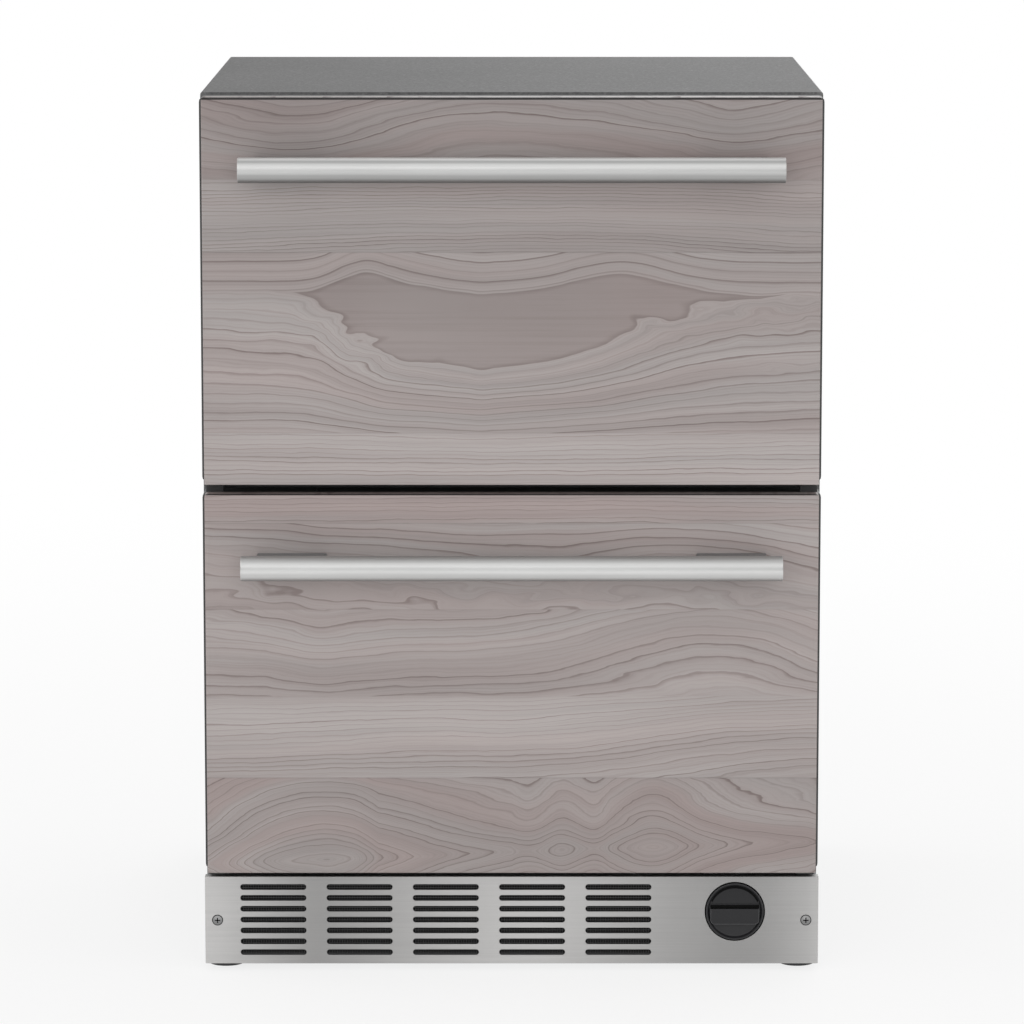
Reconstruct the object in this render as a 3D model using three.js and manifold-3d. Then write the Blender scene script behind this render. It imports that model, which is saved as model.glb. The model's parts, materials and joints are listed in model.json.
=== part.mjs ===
// Undercounter refrigerator with two drawers, built as separate pieces.
// Millimetres. x runs to the right, y to the back, z up from the floor.
// Each builder below measures y from the cabinet's front edge; the last group moves the whole
// part so that its origin is at the bottom centre of its box.
import * as THREE from "three";
import { mergeVertices } from "three/addons/utils/BufferGeometryUtils.js";
import Module from "manifold-3d";

// ---- Driving dimensions ----
const CLEARANCE = 0.3; // between pieces that seat on each other

// Cabinet
const CABINET_WIDTH = 606.4;
const CABINET_HEIGHT = 866.8; // floor to top, legs turned in
const CABINET_DEPTH = 530; // without the drawer fronts
const GROUND_GAP = 12; // floor to base pan
const SHEET = 1; // cabinet steel
const BEND_RADIUS = 2.5;
const FLANGE = 12; // turned-in edge of the wrap
const SIDE_FOAM = 38;
const TOP_FOAM = 38;
const REAR_FOAM = 42;
const FLOOR_FOAM = 33;
const STEP_FOAM = 36; // between the machine space and the lower compartment
const LINER_WALL = 2;
const LINER_FLANGE = 8;
const LINER_RADIUS = 12;
const FRAME_DEPTH = 12; // face frame, front to back
const FRAME_CORNER = 2;
const MULLION = 44.5; // rail between the two compartments
const DECK_HEIGHT = 100; // underside of the insulated floor
const STEP_DEPTH = 300; // front to back of the deep part of the lower compartment
const STEP_HEADROOM = 172.5; // floor to ceiling of its shallow part

// Back panel
const FIELD_INSET = 3; // wrap flange to pressed field
const FIELD_RISE = 22; // base pan to pressed field
const FIELD_CORNER = 10;
const VENT = { rows: 5, pitch: 26, length: 130, height: 8, lowest: 70, left: 153.2, right: 243.2 };
const GLAND = { side: 53.2, z: 60, bore: 5, wall: 3, depth: 10 };

// Drawer fronts
const PANEL_SIDE = 4.2; // cabinet side to wood panel side
const PANEL_THICKNESS = 19;
const PANEL_CORNER = 2.5;
const PANEL_ARRIS = 0.8;
const PANEL_GAP = 9.5; // between the two wood panels
const PANEL_DROP = 0.8; // below the cabinet's top
const PANEL_OVER_KICK = 8.3; // kick plate's top to the lower wood panel
const DOOR_SIDE = 1.2; // cabinet side to door side
const DOOR_THICKNESS = 37.7;
const DOOR_REVEAL = 1.5; // door pan's edge inside the panel's, top and bottom
const DOOR_CORNER = 4;
const DOOR_LIP = 4.5;
const LIP_CORNER = 2;
const SEAL_SPACE = 5; // cabinet front to door back
const SEAL_WIDTH = 13;
const SEAL_SIDE_GAP = 6.8; // compartment's side to seal
const SEAL_END_GAP = 1; // compartment's floor or ceiling to seal
const SEAL_DART = 4.5; // depth of the seal's foot in its groove
const GROOVE_HALF = 2;
const DYKE_DEPTH = 8; // how far the door liner reaches into the compartment
const DYKE_CLEARANCE = 8;
const DYKE_CORNER = 14;
const DYKE_BEVEL = 3;

// Handles
const BAR_INSET = 36.8; // wood panel's side to bar's end
const BAR_HEIGHT = 24.4;
const BAR_DEPTH = 16;
const BAR_CROWN = 5; // how much the bar's front rounds off
const BAR_EDGE = 0.8;
const BAR_PROJECTION = 48; // panel front to bar front
const BAR_DROP = 67; // panel top to bar centre
const BRACKET_WIDTH = 66;
const BRACKET_HEIGHT = 19;
const BRACKET_INSET = 48.2; // bar's end to bracket's middle
const BRACKET_FLARE = 5;
const BRACKET_FOOT = 4; // thickness of its foot on the panel
const BRACKET_EDGE = 0.8;

// Bins and runners
const BIN_WALL = 2.5;
const BIN_CORNER = 18;
const BIN_FLOOR_GAP = 6;
const BIN_BACK_GAP = 14.2; // bin's rim to the cover of the coil
const BIN_RIM = 5;
const BIN_RIM_THICKNESS = 3;
const BIN_STEP_RADIUS = 8;
const UPPER_BIN_HEADROOM = 85.8; // bin's rim to the ceiling
const LOWER_BIN_HEADROOM = 87.9;
const BIN_STEP_GAP = 15; // bin to the step behind and below it
const RUNNER_HEIGHT = 45;
const RUNNER_WIDTH = 12.7;
const RUNNER_SHEET = 1.3;
const RUNNER_BACK_GAP = 2.5; // runner to the cover of the coil
const RUNNER_OVERLAP = 16; // how much shorter the moving members are
const RUNNER_SETBACK = 15; // cabinet front to runner
const UPPER_RUNNER_RISE = 78; // compartment's floor to runner's middle
const LOWER_RUNNER_RISE = 39.6; // shallow floor to runner's middle

// Kick plate
const KICK_HEIGHT = 88;
const KICK_BOTTOM = 7.2;
const KICK_AHEAD = 41; // cabinet front to kick plate front
const KICK_SHEET = 1.2;
const KICK_RETURN = 12;
const LOUVRE_GAP = 20.2; // between two columns
const LOUVRE_HEIGHT = 4.8;
const LOUVRE_COLUMNS = 5;
const LOUVRE_ROWS = 7;
const LOUVRE_ROW_PITCH = 11;
const LOUVRE_RAISE = 0.4; // middle row above the plate's middle
const LOUVRE_SIDE = 67.5; // cabinet side to the middle of the left column
const LOUVRE_TO_CAP = 115.2; // middle of the right column to the filter cap's
const SCREW_INSET = 12.2; // cabinet side to screw
const SCREW_HOLE = 2.2;

// Water filter
const FILTER_SIDE = 82.5; // cabinet side to its axis
const FILTER_Z = 59.9;
const CAP_RADIUS = 28.75;
const CAP_RIM = 2.2;
const CAP_RECESS = 3;
const CAP_PROUD = 0.8;
const CAP_DEPTH = 9;
const CAP_WALL = 2;
const CAP_HOLE_GAP = 0.5;
const GRIP_WIDTH = 49.3;
const GRIP_HEIGHT = 19.9;
const GRIP_CORNER = 4;
const GRIP_DROP = 3; // its middle below the axis
const CARTRIDGE_RADIUS = 25;
const CARTRIDGE_LENGTH = 205;
const CARTRIDGE_AHEAD = 20; // its front face, ahead of the cabinet front
const GUIDE_GAP = 0.8; // cartridge to the trough it slides in
const GUIDE_WALL = 2.5;
const BAYONET_RADIUS = 12;
const BAYONET_LENGTH = 11;
const NECK_RADIUS = 11;
const NECK_LENGTH = 15;
const HEAD_LENGTH = 22; // beyond the neck
const HEAD_FOOT = 30; // half width of its feet
const PORT_RADIUS = 5;
const PORT_REACH = 40;

// Water valve
const VALVE = { side: 78.2, back: 37.7, z: 62, spigot: 8, bore: 5, half: 14, bottom: 40, top: 78 };
const VALVE_COIL = { radius: 15, z: 58, from: 10, to: 46 };
const VALVE_FOOT = { half: 16, waist: 10, top: 44 };

// Legs and base pan
const LEG_SIDE = 19.2; // cabinet side to leg
const FRONT_LEG_Y = -5;
const REAR_LEG_INSET = 30;
const FOOT_RADIUS = 18;
const FOOT_HEIGHT = 5;
const STEM_RADIUS = 5;
const STEM_TOP = 58;
const BOSS_WALL = 5;
const BOSS_HEIGHT = 9;
const PAN_SHEET = 1.5;
const PAN_SIDE = 33;
const PAN_BACK = 18;
const TAB_WIDTH = 11; // from screw to the inner edge of its tab

// Machine space
const COMPRESSOR_SIDE = 163.2; // cabinet side to its axis
const COMPRESSOR_RADIUS = 72;
const COMPRESSOR_NARROW = 0.86; // depth over width of the pot
const COMPRESSOR_FLOOR = 30; // underside of its mounting plate
const COMPRESSOR_PLATE = { halfX: 82, halfY: 58, corner: 14, thick: 8 };
const COMPRESSOR_MOUNT = { x: 66, y: 44, radius: 9 };
const TERMINAL_BOX = { half: 26, below: 44, above: 6, reach: 22 };
const STUB_RADIUS = 5;
const SUCTION_REACH = 82; // compressor's axis to the end of its suction stub
const SUCTION_DROP = 80; // below the compressor's top
const DISCHARGE_SIDE = 35; // compressor's axis to its discharge stub
const DISCHARGE_REACH = 70;
const DISCHARGE_RISE = 50; // above the compressor's plate
const DRAIN_TRAY = { left: 72, right: 104, front: 10.4, back: 22.7, height: 32, over: 18.1 };
const DRAIN_TRAY_WALL = 2;
const DRAIN_TRAY_RIM = 4;
const DRAIN_TRAY_CORNER = 12;
const COIL_BENDS = 2;
const COIL_CORE = 4;
const COIL_REACH = 12;
const FIN_SHEET = 1.2;
const COIL_TUBE = 4;
const CONDENSER_SIDE = 41.2; // cabinet side to coil
const CONDENSER_TO_FILTER = 100.7;
const CONDENSER_FRONT = 20;
const CONDENSER_DEPTH = 70;
const CONDENSER_LIFT = 4.5; // above the base pan
const CONDENSER_HEADROOM = 8;
const CONDENSER_FOOT = 40; // coil's end to foot
const CONDENSER_PORT = { along: 26, behind: 10, z: 45 };
const EVAPORATOR_SIDE = 72.2; // compartment's side to coil
const EVAPORATOR_BACK = 6.1;
const EVAPORATOR_DEPTH = 44;
const EVAPORATOR_LIFT = 6;
const EVAPORATOR_HEIGHT = 80;
const EVAPORATOR_FOOT = 40; // coil's end to foot
const EVAPORATOR_PORT = { reach: 35, rise: 24 };
const LINE_RADIUS = 3.5;
const CONDENSER_FAN_RADIUS = 60;
const CONDENSER_FAN_HUB = 19;
const CONDENSER_FAN_SIDE = 160; // compressor's axis to fan
const CONDENSER_FAN_LIFT = 74.5; // base pan to fan's axis
const CONDENSER_FAN_BEHIND = 10.4; // the insulated step's sheet
const EVAPORATOR_FAN_RADIUS = 35;
const EVAPORATOR_FAN_HUB = 14;
const EVAPORATOR_FAN_SIDE = 112.2; // compartment's side to fan
const EVAPORATOR_FAN_DROP = 42.5; // ceiling to fan's axis
const EVAPORATOR_FAN_AHEAD = 17.5; // of the coil
const FAN_TIP_GAP = 2;
const FAN_DEPTH = 13;
const FAN_MOTOR = 18;
const FAN_FRAME_MARGIN = 14;
const BLADE_SHEET = 1.6;
const BLADE_PITCH = 0.3; // radians
const SHAFT_RADIUS = 2.5;
const SUCTION_SIDE = 14.2; // compartment's side to suction line
const DRAIN_RADIUS = 8;
const DRAIN_SIDE = 40; // compressor's axis to drain
const DUCT = { half: 60, front: 43.1, back: 13.1, corner: 6 };
const RETURN = { x: 180, half: 40, back: 21.1 };
const COVER = { ahead: 2, depth: 15, wall: 2.5, corner: 8 };
const COVER_SLOTS = { count: 5, pitch: 80, length: 60, height: 8, rise: 24 };
const RISER = { half: 85, depth: 51.1, over: 68.5, slots: 4, pitch: 30, length: 120, height: 10 };

// Inside fittings
const CONTROL = { half: 95, front: 24, depth: 68, slope: 12, drop: 16, lip: 6 };
const LIGHT = { half: 160, front: 118, depth: 30, slope: 8, drop: 11, lip: 4 };
const ICE = { x0: -170, x1: 30, depth: 88, gap: 13.5, rim: 34, drop: 62, cups: 6, pitch: 31.5, cup: 26 };
const ICE_DRIVE = { width: 50, drop: 72, over: 4, corner: 8 };

// ---- Sizes that follow ----
const HALF_WIDTH = CABINET_WIDTH / 2;
const PANEL_WIDTH = CABINET_WIDTH - 2 * PANEL_SIDE;
const DOOR_WIDTH = CABINET_WIDTH - 2 * DOOR_SIDE;
const BAR_LENGTH = PANEL_WIDTH - 2 * BAR_INSET;
const BRACKET_SPACING = BAR_LENGTH - 2 * BRACKET_INSET;
const INSIDE_HALF = HALF_WIDTH - SHEET - SIDE_FOAM - LINER_WALL;
const BACK_FACE = CABINET_DEPTH - 2 * SHEET - CLEARANCE; // front face of the back panel's border
const INSIDE_DEPTH = BACK_FACE - REAR_FOAM - 2 * CLEARANCE - LINER_WALL;
const CEILING = CABINET_HEIGHT - SHEET - TOP_FOAM - LINER_WALL;
const FLOOR = DECK_HEIGHT + SHEET + 2 * CLEARANCE + FLOOR_FOAM + LINER_WALL;
const LOWER_PANEL_Z = KICK_BOTTOM + KICK_HEIGHT + PANEL_OVER_KICK;
const PANEL_HEIGHT = (CABINET_HEIGHT - PANEL_DROP - PANEL_GAP - LOWER_PANEL_Z) / 2;
const UPPER_PANEL_Z = LOWER_PANEL_Z + PANEL_HEIGHT + PANEL_GAP;
const MULLION_MIDDLE = UPPER_PANEL_Z - PANEL_GAP / 2;
const DOOR_FRONT = -(SEAL_SPACE + DOOR_THICKNESS);
const PANEL_BACK = DOOR_FRONT - CLEARANCE;
const PANEL_FRONT = PANEL_BACK - PANEL_THICKNESS;
const HANDLE_FRONT = PANEL_FRONT - BAR_PROJECTION;
const UPPER = { floor: MULLION_MIDDLE + MULLION / 2, ceiling: CEILING };
const LOWER = { floor: FLOOR, ceiling: MULLION_MIDDLE - MULLION / 2 };
const STEP_HEIGHT = LOWER.ceiling - STEP_HEADROOM;
const MACHINE_FRONT = STEP_DEPTH + LINER_WALL + 2 * CLEARANCE + STEP_FOAM + SHEET;
const MACHINE_TOP = STEP_HEIGHT - LINER_WALL - 2 * CLEARANCE - STEP_FOAM - SHEET;
const PAN_HALF = HALF_WIDTH - KICK_SHEET - CLEARANCE;
const PAN_FLOOR = GROUND_GAP + PAN_SHEET;
const PAN_FRONT = -(KICK_AHEAD - KICK_SHEET - CLEARANCE);
const KICK_MIDDLE = KICK_BOTTOM + KICK_HEIGHT / 2;
const SCREW_X = HALF_WIDTH - SCREW_INSET;
const FILTER_X = HALF_WIDTH - FILTER_SIDE;
const FIRST_LOUVRE = LOUVRE_SIDE - HALF_WIDTH;
const LOUVRE_COLUMN_PITCH = (FILTER_X - LOUVRE_TO_CAP - FIRST_LOUVRE) / (LOUVRE_COLUMNS - 1);
const LOUVRE_LENGTH = LOUVRE_COLUMN_PITCH - LOUVRE_GAP;
const LEG_X = HALF_WIDTH - LEG_SIDE;
const REAR_LEG_Y = CABINET_DEPTH - REAR_LEG_INSET;
const GLAND_X = GLAND.side - HALF_WIDTH;
const VALVE_X = HALF_WIDTH - VALVE.side;
const VALVE_Y = BACK_FACE - VALVE.back;
const COMPRESSOR_X = COMPRESSOR_SIDE - HALF_WIDTH;
const COMPRESSOR_Y = (MACHINE_FRONT + BACK_FACE) / 2;
const COMPRESSOR_TOP = MACHINE_TOP - DRAIN_TRAY.over - DRAIN_TRAY.height - CLEARANCE;
const SUCTION_STUB = {
  x: COMPRESSOR_X - SUCTION_REACH,
  y: COMPRESSOR_Y,
  z: COMPRESSOR_TOP - SUCTION_DROP,
};
const DISCHARGE_STUB = {
  x: COMPRESSOR_X - DISCHARGE_SIDE,
  y: COMPRESSOR_Y - DISCHARGE_REACH,
  z: COMPRESSOR_FLOOR + DISCHARGE_RISE,
};
const CONDENSER = {
  x0: CONDENSER_SIDE - HALF_WIDTH,
  x1: FILTER_X - CONDENSER_TO_FILTER,
  y0: CONDENSER_FRONT,
  y1: CONDENSER_FRONT + CONDENSER_DEPTH,
  z0: PAN_FLOOR + CONDENSER_LIFT,
  z1: DECK_HEIGHT - CONDENSER_HEADROOM,
  fins: 16,
};
const CONDENSER_STUB = {
  x: CONDENSER.x0 + CONDENSER_PORT.along,
  y: CONDENSER.y1 + CONDENSER_PORT.behind,
  z: CONDENSER_PORT.z,
};
const EVAPORATOR = {
  x0: EVAPORATOR_SIDE - INSIDE_HALF,
  x1: INSIDE_HALF - EVAPORATOR_SIDE,
  y0: INSIDE_DEPTH - EVAPORATOR_BACK - EVAPORATOR_DEPTH,
  y1: INSIDE_DEPTH - EVAPORATOR_BACK,
  z0: STEP_HEIGHT + EVAPORATOR_LIFT,
  z1: STEP_HEIGHT + EVAPORATOR_LIFT + EVAPORATOR_HEIGHT,
  fins: 12,
};
const CONDENSER_FAN = {
  x: COMPRESSOR_X + CONDENSER_FAN_SIDE,
  z: PAN_FLOOR + CONDENSER_FAN_LIFT,
  radius: CONDENSER_FAN_RADIUS,
  front: MACHINE_FRONT + CONDENSER_FAN_BEHIND,
  blades: 5,
  hub: CONDENSER_FAN_HUB,
};
const EVAPORATOR_FAN = {
  x: INSIDE_HALF - EVAPORATOR_FAN_SIDE,
  z: LOWER.ceiling - EVAPORATOR_FAN_DROP,
  radius: EVAPORATOR_FAN_RADIUS,
  front: EVAPORATOR.y0 - EVAPORATOR_FAN_AHEAD,
  blades: 5,
  hub: EVAPORATOR_FAN_HUB,
};
const COVER_FACE = EVAPORATOR_FAN.front - COVER.ahead;
const SUCTION_X = SUCTION_SIDE - INSIDE_HALF;
const SUCTION_Y = (EVAPORATOR.y0 + EVAPORATOR.y1) / 2;
const SUCTION_RISE = EVAPORATOR.z0 + EVAPORATOR_PORT.rise; // where the line meets the coil
const SUCTION_END = EVAPORATOR.x0 - EVAPORATOR_PORT.reach;
const DRAIN_X = COMPRESSOR_X + DRAIN_SIDE;
const LINE_BORE = LINE_RADIUS + 1;
const BIN_HALF = INSIDE_HALF - RUNNER_WIDTH - 2 * CLEARANCE;
const BIN_FRONT = DYKE_DEPTH + CLEARANCE;
const BIN_DEPTH = COVER_FACE - BIN_BACK_GAP - BIN_RIM - BIN_FRONT;
const RUNNER_LENGTH = COVER_FACE - RUNNER_BACK_GAP - RUNNER_SETBACK;
const MOVING_LENGTH = RUNNER_LENGTH - RUNNER_OVERLAP;
const SLOT_END_SIDES = 2;
const DISC_SIDES = 28; // sides of a disc that shows
const ROUND_SIDES = 16; // sides of a large round piece
const SMALL_ROUND_SIDES = 8; // sides of a small round piece

// ---- Materials ----
function finish(color, roughness, metalness) {
  return new THREE.MeshStandardMaterial({ color, roughness, metalness });
}
const PAINTED_STEEL = finish(0x8c8c8c, 0.6, 0.3);
const GALVANISED = finish(0xa9acae, 0.5, 0.8);
const BRUSHED = finish(0xb9b8b6, 0.35, 0.95);
const DARK_TRIM = finish(0x2a2a2c, 0.6, 0.1);
const BLACK_PLASTIC = finish(0x1c1c1e, 0.45, 0);
const WHITE_PLASTIC = finish(0xe6e7e6, 0.4, 0);
const FOAM = finish(0xd9c98f, 0.95, 0);
const DOOR_STEEL = finish(0x9c9c9b, 0.45, 0.6);
const WOOD = finish(0x978f8b, 0.6, 0);
const RUBBER = finish(0x3c3c3e, 0.85, 0);
const BRACKET_METAL = finish(0x6b6b6b, 0.4, 0.8);
const RUNNER_STEEL = finish(0xb0b4b8, 0.3, 0.9);
const COPPER = finish(0xb87246, 0.35, 0.9);
const FIN_METAL = finish(0xc3c6c8, 0.45, 0.85);
const POT_BLACK = finish(0x202124, 0.4, 0.4);
const CLEAR_PLASTIC = finish(0xdfe6ea, 0.15, 0);
const LIGHT_COVER = finish(0xf4f2ea, 0.5, 0);

// ---- Solids ----
const wasm = await Module();
wasm.setup();

function solid(geometry) {
  const bare = geometry.index ? geometry.toNonIndexed() : geometry.clone();
  bare.deleteAttribute("normal");
  bare.deleteAttribute("uv");
  const merged = mergeVertices(bare, 1e-4);
  return new wasm.Manifold(
    new wasm.Mesh({
      numProp: 3,
      vertProperties: merged.attributes.position.array,
      triVerts: new Uint32Array(merged.index.array),
    }),
  );
}

function geometryOf(made) {
  const { vertProperties, triVerts } = made.getMesh();
  const indexed = new THREE.BufferGeometry();
  indexed.setAttribute("position", new THREE.BufferAttribute(vertProperties, 3));
  indexed.setIndex(new THREE.BufferAttribute(triVerts, 1));
  const flat = indexed.toNonIndexed();
  flat.computeVertexNormals();
  return flat;
}

function joined(...parts) {
  return parts.reduce((whole, next) => whole.add(next));
}

function cut(base, ...tools) {
  return tools.reduce((left, tool) => left.subtract(tool), base);
}

function addPiece(group, name, made, material) {
  const mesh = new THREE.Mesh(geometryOf(made), material);
  mesh.name = name;
  group.add(mesh);
  return mesh;
}

// ---- Outlines and sweeps ----
const SIDES = [
  ["left", -1],
  ["right", 1],
];
const ALONG_X = new THREE.Matrix4().makeBasis(
  new THREE.Vector3(0, 1, 0),
  new THREE.Vector3(0, 0, 1),
  new THREE.Vector3(1, 0, 0),
);
const ALONG_Y = new THREE.Matrix4().makeBasis(
  new THREE.Vector3(1, 0, 0),
  new THREE.Vector3(0, 0, 1),
  new THREE.Vector3(0, -1, 0),
);

function extruded(shape, depth, bevel = 0, curveSegments = 3) {
  return new THREE.ExtrudeGeometry(shape, {
    depth: depth - 2 * bevel,
    steps: 1,
    curveSegments,
    bevelEnabled: bevel > 0,
    bevelThickness: bevel,
    bevelSize: bevel,
    bevelOffset: -bevel,
    bevelSegments: 1,
  }).translate(0, 0, bevel);
}

// A profile drawn in y and z, from x0 to x1.
function alongX(shape, x0, x1, bevel = 0) {
  return solid(extruded(shape, x1 - x0, bevel).applyMatrix4(ALONG_X).translate(x0, 0, 0));
}

// A profile drawn in x and z, from y0 to y1.
function alongY(shape, y0, y1, bevel = 0) {
  return solid(extruded(shape, y1 - y0, bevel).applyMatrix4(ALONG_Y).translate(0, y1, 0));
}

// A profile drawn in x and y, from z0 to z1.
function alongZ(shape, z0, z1, bevel = 0) {
  return solid(extruded(shape, z1 - z0, bevel).translate(0, 0, z0));
}

// A closed outline through corner points, each [across, up, radius]; the radius may be left out.
function outline(corners) {
  const shape = new THREE.Shape();
  corners.forEach(([a, b, radius = 0], i) => {
    const before = corners[(i + corners.length - 1) % corners.length];
    const after = corners[(i + 1) % corners.length];
    const here = new THREE.Vector2(a, b);
    const back = new THREE.Vector2(before[0], before[1]).sub(here).setLength(radius).add(here);
    const ahead = new THREE.Vector2(after[0], after[1]).sub(here).setLength(radius).add(here);
    if (i === 0) shape.moveTo(back.x, back.y);
    else shape.lineTo(back.x, back.y);
    if (radius > 0) shape.quadraticCurveTo(a, b, ahead.x, ahead.y);
  });
  shape.closePath();
  return shape;
}

function rectangle(a0, a1, b0, b1, radius = 0) {
  return outline([
    [a0, b0, radius],
    [a1, b0, radius],
    [a1, b1, radius],
    [a0, b1, radius],
  ]);
}

// A rectangle whose two upper corners are round.
function arch(half, bottom, top, radius) {
  return outline([
    [-half, bottom],
    [half, bottom],
    [half, top, radius],
    [-half, top, radius],
  ]);
}

function slot(a, b, length, height) {
  const reach = (length - height) / 2;
  const points = [];
  for (let i = 0; i <= SLOT_END_SIDES; i += 1) {
    const angle = -Math.PI / 2 + (Math.PI * i) / SLOT_END_SIDES;
    points.push([reach + (height / 2) * Math.cos(angle), (height / 2) * Math.sin(angle)]);
  }
  const ends = [...points, ...points.map(([u, v]) => [-u, -v])];
  return outline(ends.map(([u, v]) => [a + u, b + v]));
}

function block(x0, x1, y0, y1, z0, z1) {
  return alongZ(rectangle(x0, x1, y0, y1), z0, z1);
}

// A round bar between two ends of one axis.
function barX(radius, x0, x1, y, z, sides = SMALL_ROUND_SIDES) {
  const bar = new THREE.CylinderGeometry(radius, radius, x1 - x0, sides).rotateZ(Math.PI / 2);
  return solid(bar.translate((x0 + x1) / 2, y, z));
}

function barY(radius, y0, y1, x, z, sides = SMALL_ROUND_SIDES) {
  const bar = new THREE.CylinderGeometry(radius, radius, y1 - y0, sides);
  return solid(bar.translate(x, (y0 + y1) / 2, z));
}

function barZ(radius, z0, z1, x, y, sides = SMALL_ROUND_SIDES) {
  const bar = new THREE.CylinderGeometry(radius, radius, z1 - z0, sides).rotateX(Math.PI / 2);
  return solid(bar.translate(x, y, (z0 + z1) / 2));
}

// A turned piece: the profile is [radius, height] from the axis back to the axis.
function turned(profile, sides) {
  const points = profile.map(([radius, height]) => new THREE.Vector2(radius, height));
  return new THREE.LatheGeometry(points, sides);
}

// A turned piece whose axis runs front to back, its profile's heights measured along y.
function turnedY(profile, x, z, sides) {
  return solid(turned(profile, sides).translate(x, 0, z));
}

function turnedZ(profile, x, y, sides) {
  return solid(turned(profile, sides).rotateX(Math.PI / 2).translate(x, y, 0));
}

// A pipe of round section along hand-placed points.
function pipe(points, radius, steps, sides = 6) {
  const path = new THREE.CatmullRomCurve3(points.map((p) => new THREE.Vector3(...p)));
  const section = new THREE.Shape();
  for (let i = 0; i < sides; i += 1) {
    const angle = (2 * Math.PI * i) / sides;
    const [a, b] = [radius * Math.cos(angle), radius * Math.sin(angle)];
    if (i === 0) section.moveTo(a, b);
    else section.lineTo(a, b);
  }
  section.closePath();
  return solid(new THREE.ExtrudeGeometry(section, { steps, extrudePath: path, curveSegments: 1 }));
}

// A section [inset, y] swept round an upright rectangle with mitred corners.
function mitredRing(section, half, bottom, top) {
  const corners = [
    [-1, 0],
    [1, 0],
    [1, 1],
    [-1, 1],
  ];
  const points = corners.flatMap(([side, upper]) =>
    section.map(([inset, y]) => [
      side * (half - inset),
      y,
      upper ? top - inset : bottom + inset,
    ]),
  );
  const indices = [];
  const count = section.length;
  corners.forEach((_, c) => {
    const next = (c + 1) % corners.length;
    section.forEach((__, i) => {
      const j = (i + 1) % count;
      const [a, b, d, e] = [c * count + i, c * count + j, next * count + i, next * count + j];
      indices.push(a, b, d, b, e, d);
    });
  });
  const ring = new THREE.BufferGeometry();
  ring.setAttribute("position", new THREE.Float32BufferAttribute(points.flat(), 3));
  ring.setIndex(indices);
  return solid(ring);
}

// ---- Cabinet shell ----
function cabinetWrap() {
  const inner = HALF_WIDTH - SHEET;
  const top = CABINET_HEIGHT - SHEET;
  const below = GROUND_GAP - 1;
  const skin = alongY(arch(HALF_WIDTH, GROUND_GAP, CABINET_HEIGHT, BEND_RADIUS), 0, CABINET_DEPTH);
  const hollow = arch(inner, below, top, BEND_RADIUS - SHEET);
  const window = arch(inner - FLANGE, below, top - FLANGE, BEND_RADIUS);
  const notch = rectangle(-inner, inner, below, GROUND_GAP + PAN_SIDE + CLEARANCE);
  return cut(
    skin,
    alongY(hollow, SHEET, CABINET_DEPTH - SHEET),
    alongY(window, -1, CABINET_DEPTH + 1),
    alongY(notch, -1, SHEET + 1),
  );
}

// Steel back: its border lies in front of the wrap's rear flange and its field is pressed out flush.
function backPanel() {
  const half = HALF_WIDTH - SHEET - CLEARANCE;
  const top = CABINET_HEIGHT - SHEET - CLEARANCE;
  const fieldHalf = half - FLANGE - FIELD_INSET;
  const fieldTop = top - FLANGE - FIELD_INSET;
  const fieldBottom = GROUND_GAP + FIELD_RISE;
  const fieldBack = CABINET_DEPTH - CLEARANCE;
  const fieldShape = (by) =>
    rectangle(by - fieldHalf, fieldHalf - by, fieldBottom + by, fieldTop - by, FIELD_CORNER - by);
  const borderShape = arch(half, GROUND_GAP + PAN_SHEET, top, BEND_RADIUS);
  const border = alongY(borderShape, BACK_FACE, BACK_FACE + SHEET);
  const field = alongY(fieldShape(0), BACK_FACE, fieldBack);
  const press = alongY(fieldShape(SHEET), BACK_FACE - 1, fieldBack - SHEET);
  const collar = GLAND.bore + GLAND.wall;
  const gland = barY(collar, BACK_FACE - GLAND.depth, fieldBack, GLAND_X, GLAND.z);
  const vents = [];
  for (let row = 0; row < VENT.rows; row += 1) {
    const z = VENT.lowest + VENT.pitch * row;
    [VENT.left - HALF_WIDTH, HALF_WIDTH - VENT.right].forEach((x) => {
      vents.push(alongY(slot(x, z, VENT.length, VENT.height), BACK_FACE - 1, CABINET_DEPTH));
    });
  }
  return cut(
    joined(cut(joined(border, field), press), gland),
    ...vents,
    barY(GLAND.bore, BACK_FACE - GLAND.depth - 1, CABINET_DEPTH, GLAND_X, GLAND.z),
    barY(VALVE.spigot + 1, BACK_FACE - 1, CABINET_DEPTH, VALVE_X, VALVE.z),
  );
}

// The floor of the insulated body in y and z, with its step over the machine space.
function stepOutline(front, back, low, stepY, stepZ, high, radius = 0) {
  return outline([
    [front, low],
    [stepY, low, radius],
    [stepY, stepZ, radius],
    [back, stepZ, radius],
    [back, high],
    [front, high],
  ]);
}

function foamInsulation() {
  const half = HALF_WIDTH - SHEET - CLEARANCE;
  const front = FRAME_DEPTH + LINER_WALL + 2 * CLEARANCE;
  const back = BACK_FACE - CLEARANCE;
  const low = DECK_HEIGHT + SHEET + CLEARANCE;
  const top = CABINET_HEIGHT - SHEET - CLEARANCE;
  const body = stepOutline(
    front,
    back,
    low,
    MACHINE_FRONT - SHEET - CLEARANCE,
    MACHINE_TOP + SHEET + CLEARANCE,
    top,
  );
  const reach = LINER_WALL + CLEARANCE;
  const rounded = alongY(arch(half, low, top, BEND_RADIUS), front, back);
  return cut(
    alongX(body, -half, half).intersect(rounded),
    compartment(UPPER, reach, front - 1),
    steppedCompartment(reach, front - 1),
    ...throughHoles(),
  );
}

// The space of the upper compartment, grown by a wall.
function compartment(room, grow, front) {
  return alongY(mouthOf(room)(grow), front, INSIDE_DEPTH + grow);
}

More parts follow.
